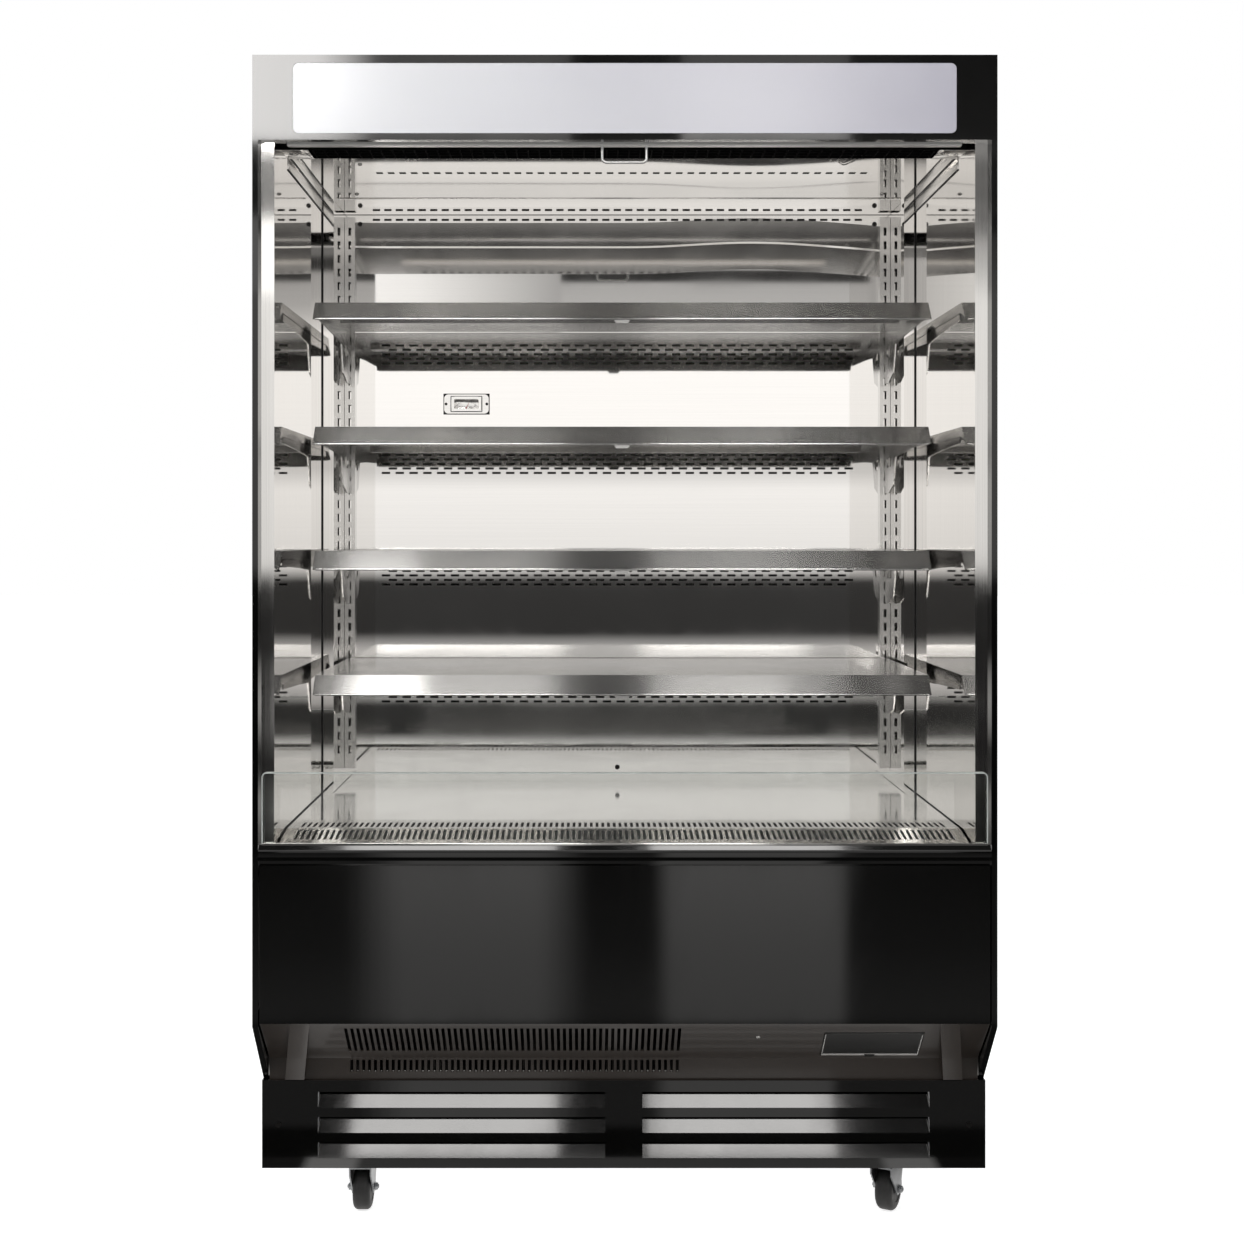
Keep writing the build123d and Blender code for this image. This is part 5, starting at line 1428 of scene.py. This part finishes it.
@dataclass
class Studio:
    """Camera, pale floor, white surround, lamps and reflector cards."""

    eye: Triple = (-0.066, -3.109, 1.215)
    sensor: float = 36.0
    lens: float = 45.5
    shift_x: float = 0.0286
    shift_y: float = -0.0675
    surround: float = 0.55
    floor_half: float = 30.0
    floor_tone: float = 0.9
    floor_glow: float = 0.72
    cloth_near: float = -0.62
    cloth_far: float = -4.0
    cloth_z: float = 0.004
    cloth_half: float = 6.0
    soft: int = 5

    def build(self) -> None:
        """Sets up the whole studio."""
        self.camera()
        self.world()
        self.floor()
        for lamp in self.lamps():
            lamp.build()
        for card in self.cards():
            card.build()

    def camera(self) -> None:
        """Stands the camera level in front of the cabinet, a little left of its middle."""
        data = bpy.data.cameras.new("view")
        data.lens, data.sensor_width = self.lens, self.sensor
        data.shift_x, data.shift_y = self.shift_x, self.shift_y
        camera = link(bpy.data.objects.new("view", data))
        camera.location = self.eye
        camera.rotation_euler = (math.radians(90), 0, 0)
        bpy.context.scene.camera = camera

    def world(self) -> None:
        """Makes the surround white to the eye and softer as a light."""
        world = bpy.context.scene.world = bpy.data.worlds.new("studio_white")
        g = Graph(world)
        level = g.spread(g.seen(), self.surround, 1.0, 0.0, 1.0)
        light = g.feed(g.node("ShaderNodeBackground"), Color=shade(WHITE, 1.0), Strength=level)
        g.close(light, "ShaderNodeOutputWorld")

    def floor(self) -> None:
        """Lays the pale floor, which reads as white and keeps a soft shadow."""
        g = Graph(bpy.data.materials.new("studio_floor"))
        matt = g.feed(g.node("ShaderNodeBsdfDiffuse"), Color=shade(WHITE, self.floor_tone))
        glow = g.feed(g.node("ShaderNodeEmission"), Color=shade(WHITE, 1.0),
                      Strength=g.sum("MULTIPLY", g.seen(), self.floor_glow))
        both = g.node("ShaderNodeAddShader")
        for socket, shader in zip(both.inputs, (matt, glow)):
            g.put(socket, shader.outputs[0])
        size = self.floor_half
        pane("studio_floor", level_card(-size, size, -size, size, 0.0), g.close(both))

    def lamps(self) -> list[Lamp]:
        """Returns the lamps that light matt surfaces."""
        return [Lamp("key_left", (-2.3, -2.9, 2.7), (-0.1, 0.0, 1.2), 1.4, 1.8, 46.0),
                Lamp("fill_right", (2.4, -2.8, 2.2), (0.1, 0.0, 1.0), 1.2, 1.6, 20.0),
                Lamp("top", (0.0, -0.6, 3.6), (0.0, 0.0, 1.0), 2.6, 1.6, 24.0)]

    def cards(self) -> list[Card]:
        """Returns the cards that shape what polished steel and gloss paint show."""
        eye_y, far_y, near_top, far_top = self.eye[1], -4.6, 2.06, 5.0
        wall = ((0.12, 0.20), (0.19, 0.20), (0.23, 0.35), (0.28, 0.63), (0.34, 0.58), (0.38, 0.035), (0.50, 0.035),
                (0.54, 0.42), (0.65, 0.82), (0.75, 0.48), (0.81, 0.035), (1.03, 0.04), (1.10, 0.92), (1.42, 1.05),
                (1.50, 0.75), (1.54, 0.75), (1.60, 1.15), (2.06, 1.20))
        high = ((1.90, 1.15), (2.20, 1.05), (2.43, 0.50), (2.54, 0.46), (2.56, 0.04), (2.61, 0.03), (2.64, 0.22),
                (2.67, 0.20), (2.71, 0.10), (2.75, 0.12), (2.78, 0.18), (2.83, 0.09), (2.87, 0.12), (2.92, 0.35),
                (3.00, 0.15), (3.30, 0.10), (5.00, 0.05))
        side = ((0.60, 0.01), (1.06, 0.02), (1.12, 0.80), (2.0, 0.90))
        key = ((-3.2, 1.6), (-1.32, 1.5), (-1.28, 1.1), (-0.95, 1.0), (-0.20, 0.42))
        cards = [
            Card("wall_card", upright(-1.12, 1.20, eye_y, 0.12, near_top), "Z", wall),
            Card("wall_card_left", upright(-3.4, -1.12, eye_y, 0.12, near_top), "Z", side),
            Card("wall_card_right", upright(1.20, 3.4, eye_y, 0.12, near_top), "Z", side),
            Card("high_card", upright(-6.0, 6.0, far_y, 1.9, far_top), "Z", high),
            Card("key_card", upright(-3.2, -0.20, far_y + 0.03, 2.1, 2.62), "X", key),
        ]
        return cards + self.overhead() + self.banks() + self.header_cards() + self.floor_cards()

    def overhead(self) -> list[Card]:
        """Returns the cards above, which the leaning shelf lips see: bright at the left, and two dimmer panels."""
        dark = ((-3.2, 0.05), (-1.3, 0.05), (-1.0, 0.045), (-0.2, 0.03), (0.4, 0.03))
        panel = ((-3.2, 0.05), (-1.9, 0.2), (-1.3, 0.62), (-1.0, 0.52), (-0.68, 0.33), (-0.47, 0.19), (-0.2, 0.10),
                 (0.4, 0.06))
        end = ((-3.2, 0.05), (-2.0, 0.3), (-1.8, 3.2), (-0.6, 3.0), (-0.45, 2.0), (-0.3, 0.5), (0.4, 0.5))
        zones = ((-3.2, -0.64, end), (-0.64, -0.175, panel), (-0.175, 0.16, dark), (0.16, 0.64, panel),
                 (0.64, 3.2, dark))
        return [Card(f"overhead_{i}", level_card(x0, x1, -3.2, 0.4, 3.4), "Y", levels)
                for i, (x0, x1, levels) in enumerate(zones)]

    def banks(self) -> list[Card]:
        """Returns the two bright banks overhead, each an upright far card and a level one nearer."""
        cards = []
        for name, x0, x1 in (("left", -1.22, -0.21), ("right", 0.235, 1.15)):
            cards.append(Card(f"bank_{name}", upright(x0, x1, -4.57, 2.96, 3.6), "Z", ((2.96, 9.0), (3.6, 9.5))))
            cards.append(Card(f"bar_{name}", level_card(x0 * 0.8, x1 * 0.8, -3.0, -1.8, 3.35), "Y",
                              ((-3.0, 10.0), (-1.8, 10.0))))
        return cards

    def header_cards(self) -> list[Card]:
        """Returns the cards that only the gloss strips above and below the sign see."""
        low, high, y = 2.425, 2.80, -2.5
        end = ((-1.40, 14.0), (-0.883, 12.4), (-0.798, 7.4), (-0.712, 1.5))
        left = ((low, 2.0), (2.55, 2.0), (2.62, 1.05), (high, 1.0))
        right = ((low, 3.8), (2.55, 3.4), (2.62, 1.0), (high, 1.0))
        gap = ((low, 0.15), (high, 0.08))
        return [Card("header_end", upright(-1.40, -0.712, y, low, high), "X", end),
                Card("header_left", upright(-0.712, -0.116, y, low, high), "Z", left),
                Card("header_gap", upright(-0.116, 0.225, y, low, high), "Z", gap),
                Card("header_right", upright(0.225, 0.736, y, low, high), "Z", right),
                Card("header_far", upright(0.736, 1.40, y, low, high), "Z", gap)]

    def strips(self) -> tuple[list[float], list[float]]:
        """Returns the edges and the brightness, from 0 to 1, of the strips that the floor cloths are cut into.

        Two pale paths cross the dark cloths. Each rises softly on its left side and falls softly on its right.
        """
        slopes = ((-0.472, -0.386, True), (-0.146, -0.068, False), (0.052, 0.081, True), (0.369, 0.390, False))
        stops, shares = [-2.4], [0.0]
        for start, end, rises in slopes:
            stops += [start + (end - start) * i / self.soft for i in range(self.soft + 1)]
            steps = [(i + 0.5) / self.soft for i in range(self.soft)]
            shares += (steps if rises else [1 - step for step in steps]) + [float(rises)]
        return stops + [2.4], shares

    def floor_cards(self) -> list[Card]:
        """Returns dark cloths with two pale paths that look upright in the lower panel, and the floor beneath it."""
        near, far, z, half = self.cloth_near, self.cloth_far, self.cloth_z, self.cloth_half
        # Places along Y, each with its brightness on a path and beside it.
        rows = ((far, 1.1, 0.04), (-3.4, 1.05, 0.05), (-2.35, 0.80, 0.09), (-1.66, 0.68, 0.17), (-1.60, 0.03, 0.02),
                (-1.14, 0.03, 0.02), (-1.08, 0.75, 0.15), (-0.80, 0.75, 0.15), (-0.76, 0.03, 0.02), (near, 0.03, 0.02))
        cards = []
        stops, shares = self.strips()
        for i, (x0, x1, share) in enumerate(zip(stops, stops[1:], shares)):
            corners = tuple((self.eye[0] + (x - self.eye[0]) * self.fan(y), y, z)
                            for x, y in ((x0, near), (x1, near), (x1, far), (x0, far)))
            levels = tuple((y, dim + (bright - dim) * share) for y, bright, dim in rows)
            cards.append(Card(f"floor_cloth_{i}", corners, "Y", levels))
        under = ((-half, 0.04), (-0.66, 0.05), (-0.60, 1.1), (-0.20, 1.0), (0.45, 1.0), (0.60, 0.9), (0.66, 0.03))
        front = ((-half, 0.04), (-0.62, 0.10), (-0.60, 1.9), (-0.52, 1.9), (-0.50, 0.5), (0.50, 0.5), (0.52, 1.6),
                 (0.60, 1.6), (0.62, 0.05))
        for name, y0, y1, levels in (("floor_under", -0.405, 0.6, under), ("floor_front", near, -0.405, front)):
            cards.append(Card(name, level_card(-half, half, y0, y1, z), "X", levels))
        return cards

    def fan(self, y: float) -> float:
        """Returns how much wider than on the front panel a strip at y has to be to look upright in that panel."""
        return (2 * FRONT - self.eye[1] - y) / (FRONT - self.eye[1])


def main() -> None:
    """Builds and dresses every sub-assembly, then the studio."""
    logging.basicConfig(level=logging.INFO, format="%(message)s")
    for part in (Shell(), Header(), NightCurtain(), Ceiling(), Display(), Shelves(), LowerFront(), Plinth(),
                 MachineBay(), Casters()):
        part.dress()
        part.build()
        log.info("%s is done", type(part).__name__)
    Studio().build()
    bpy.context.scene.view_settings.view_transform = "Standard"


if __name__ == "__main__":
    main()
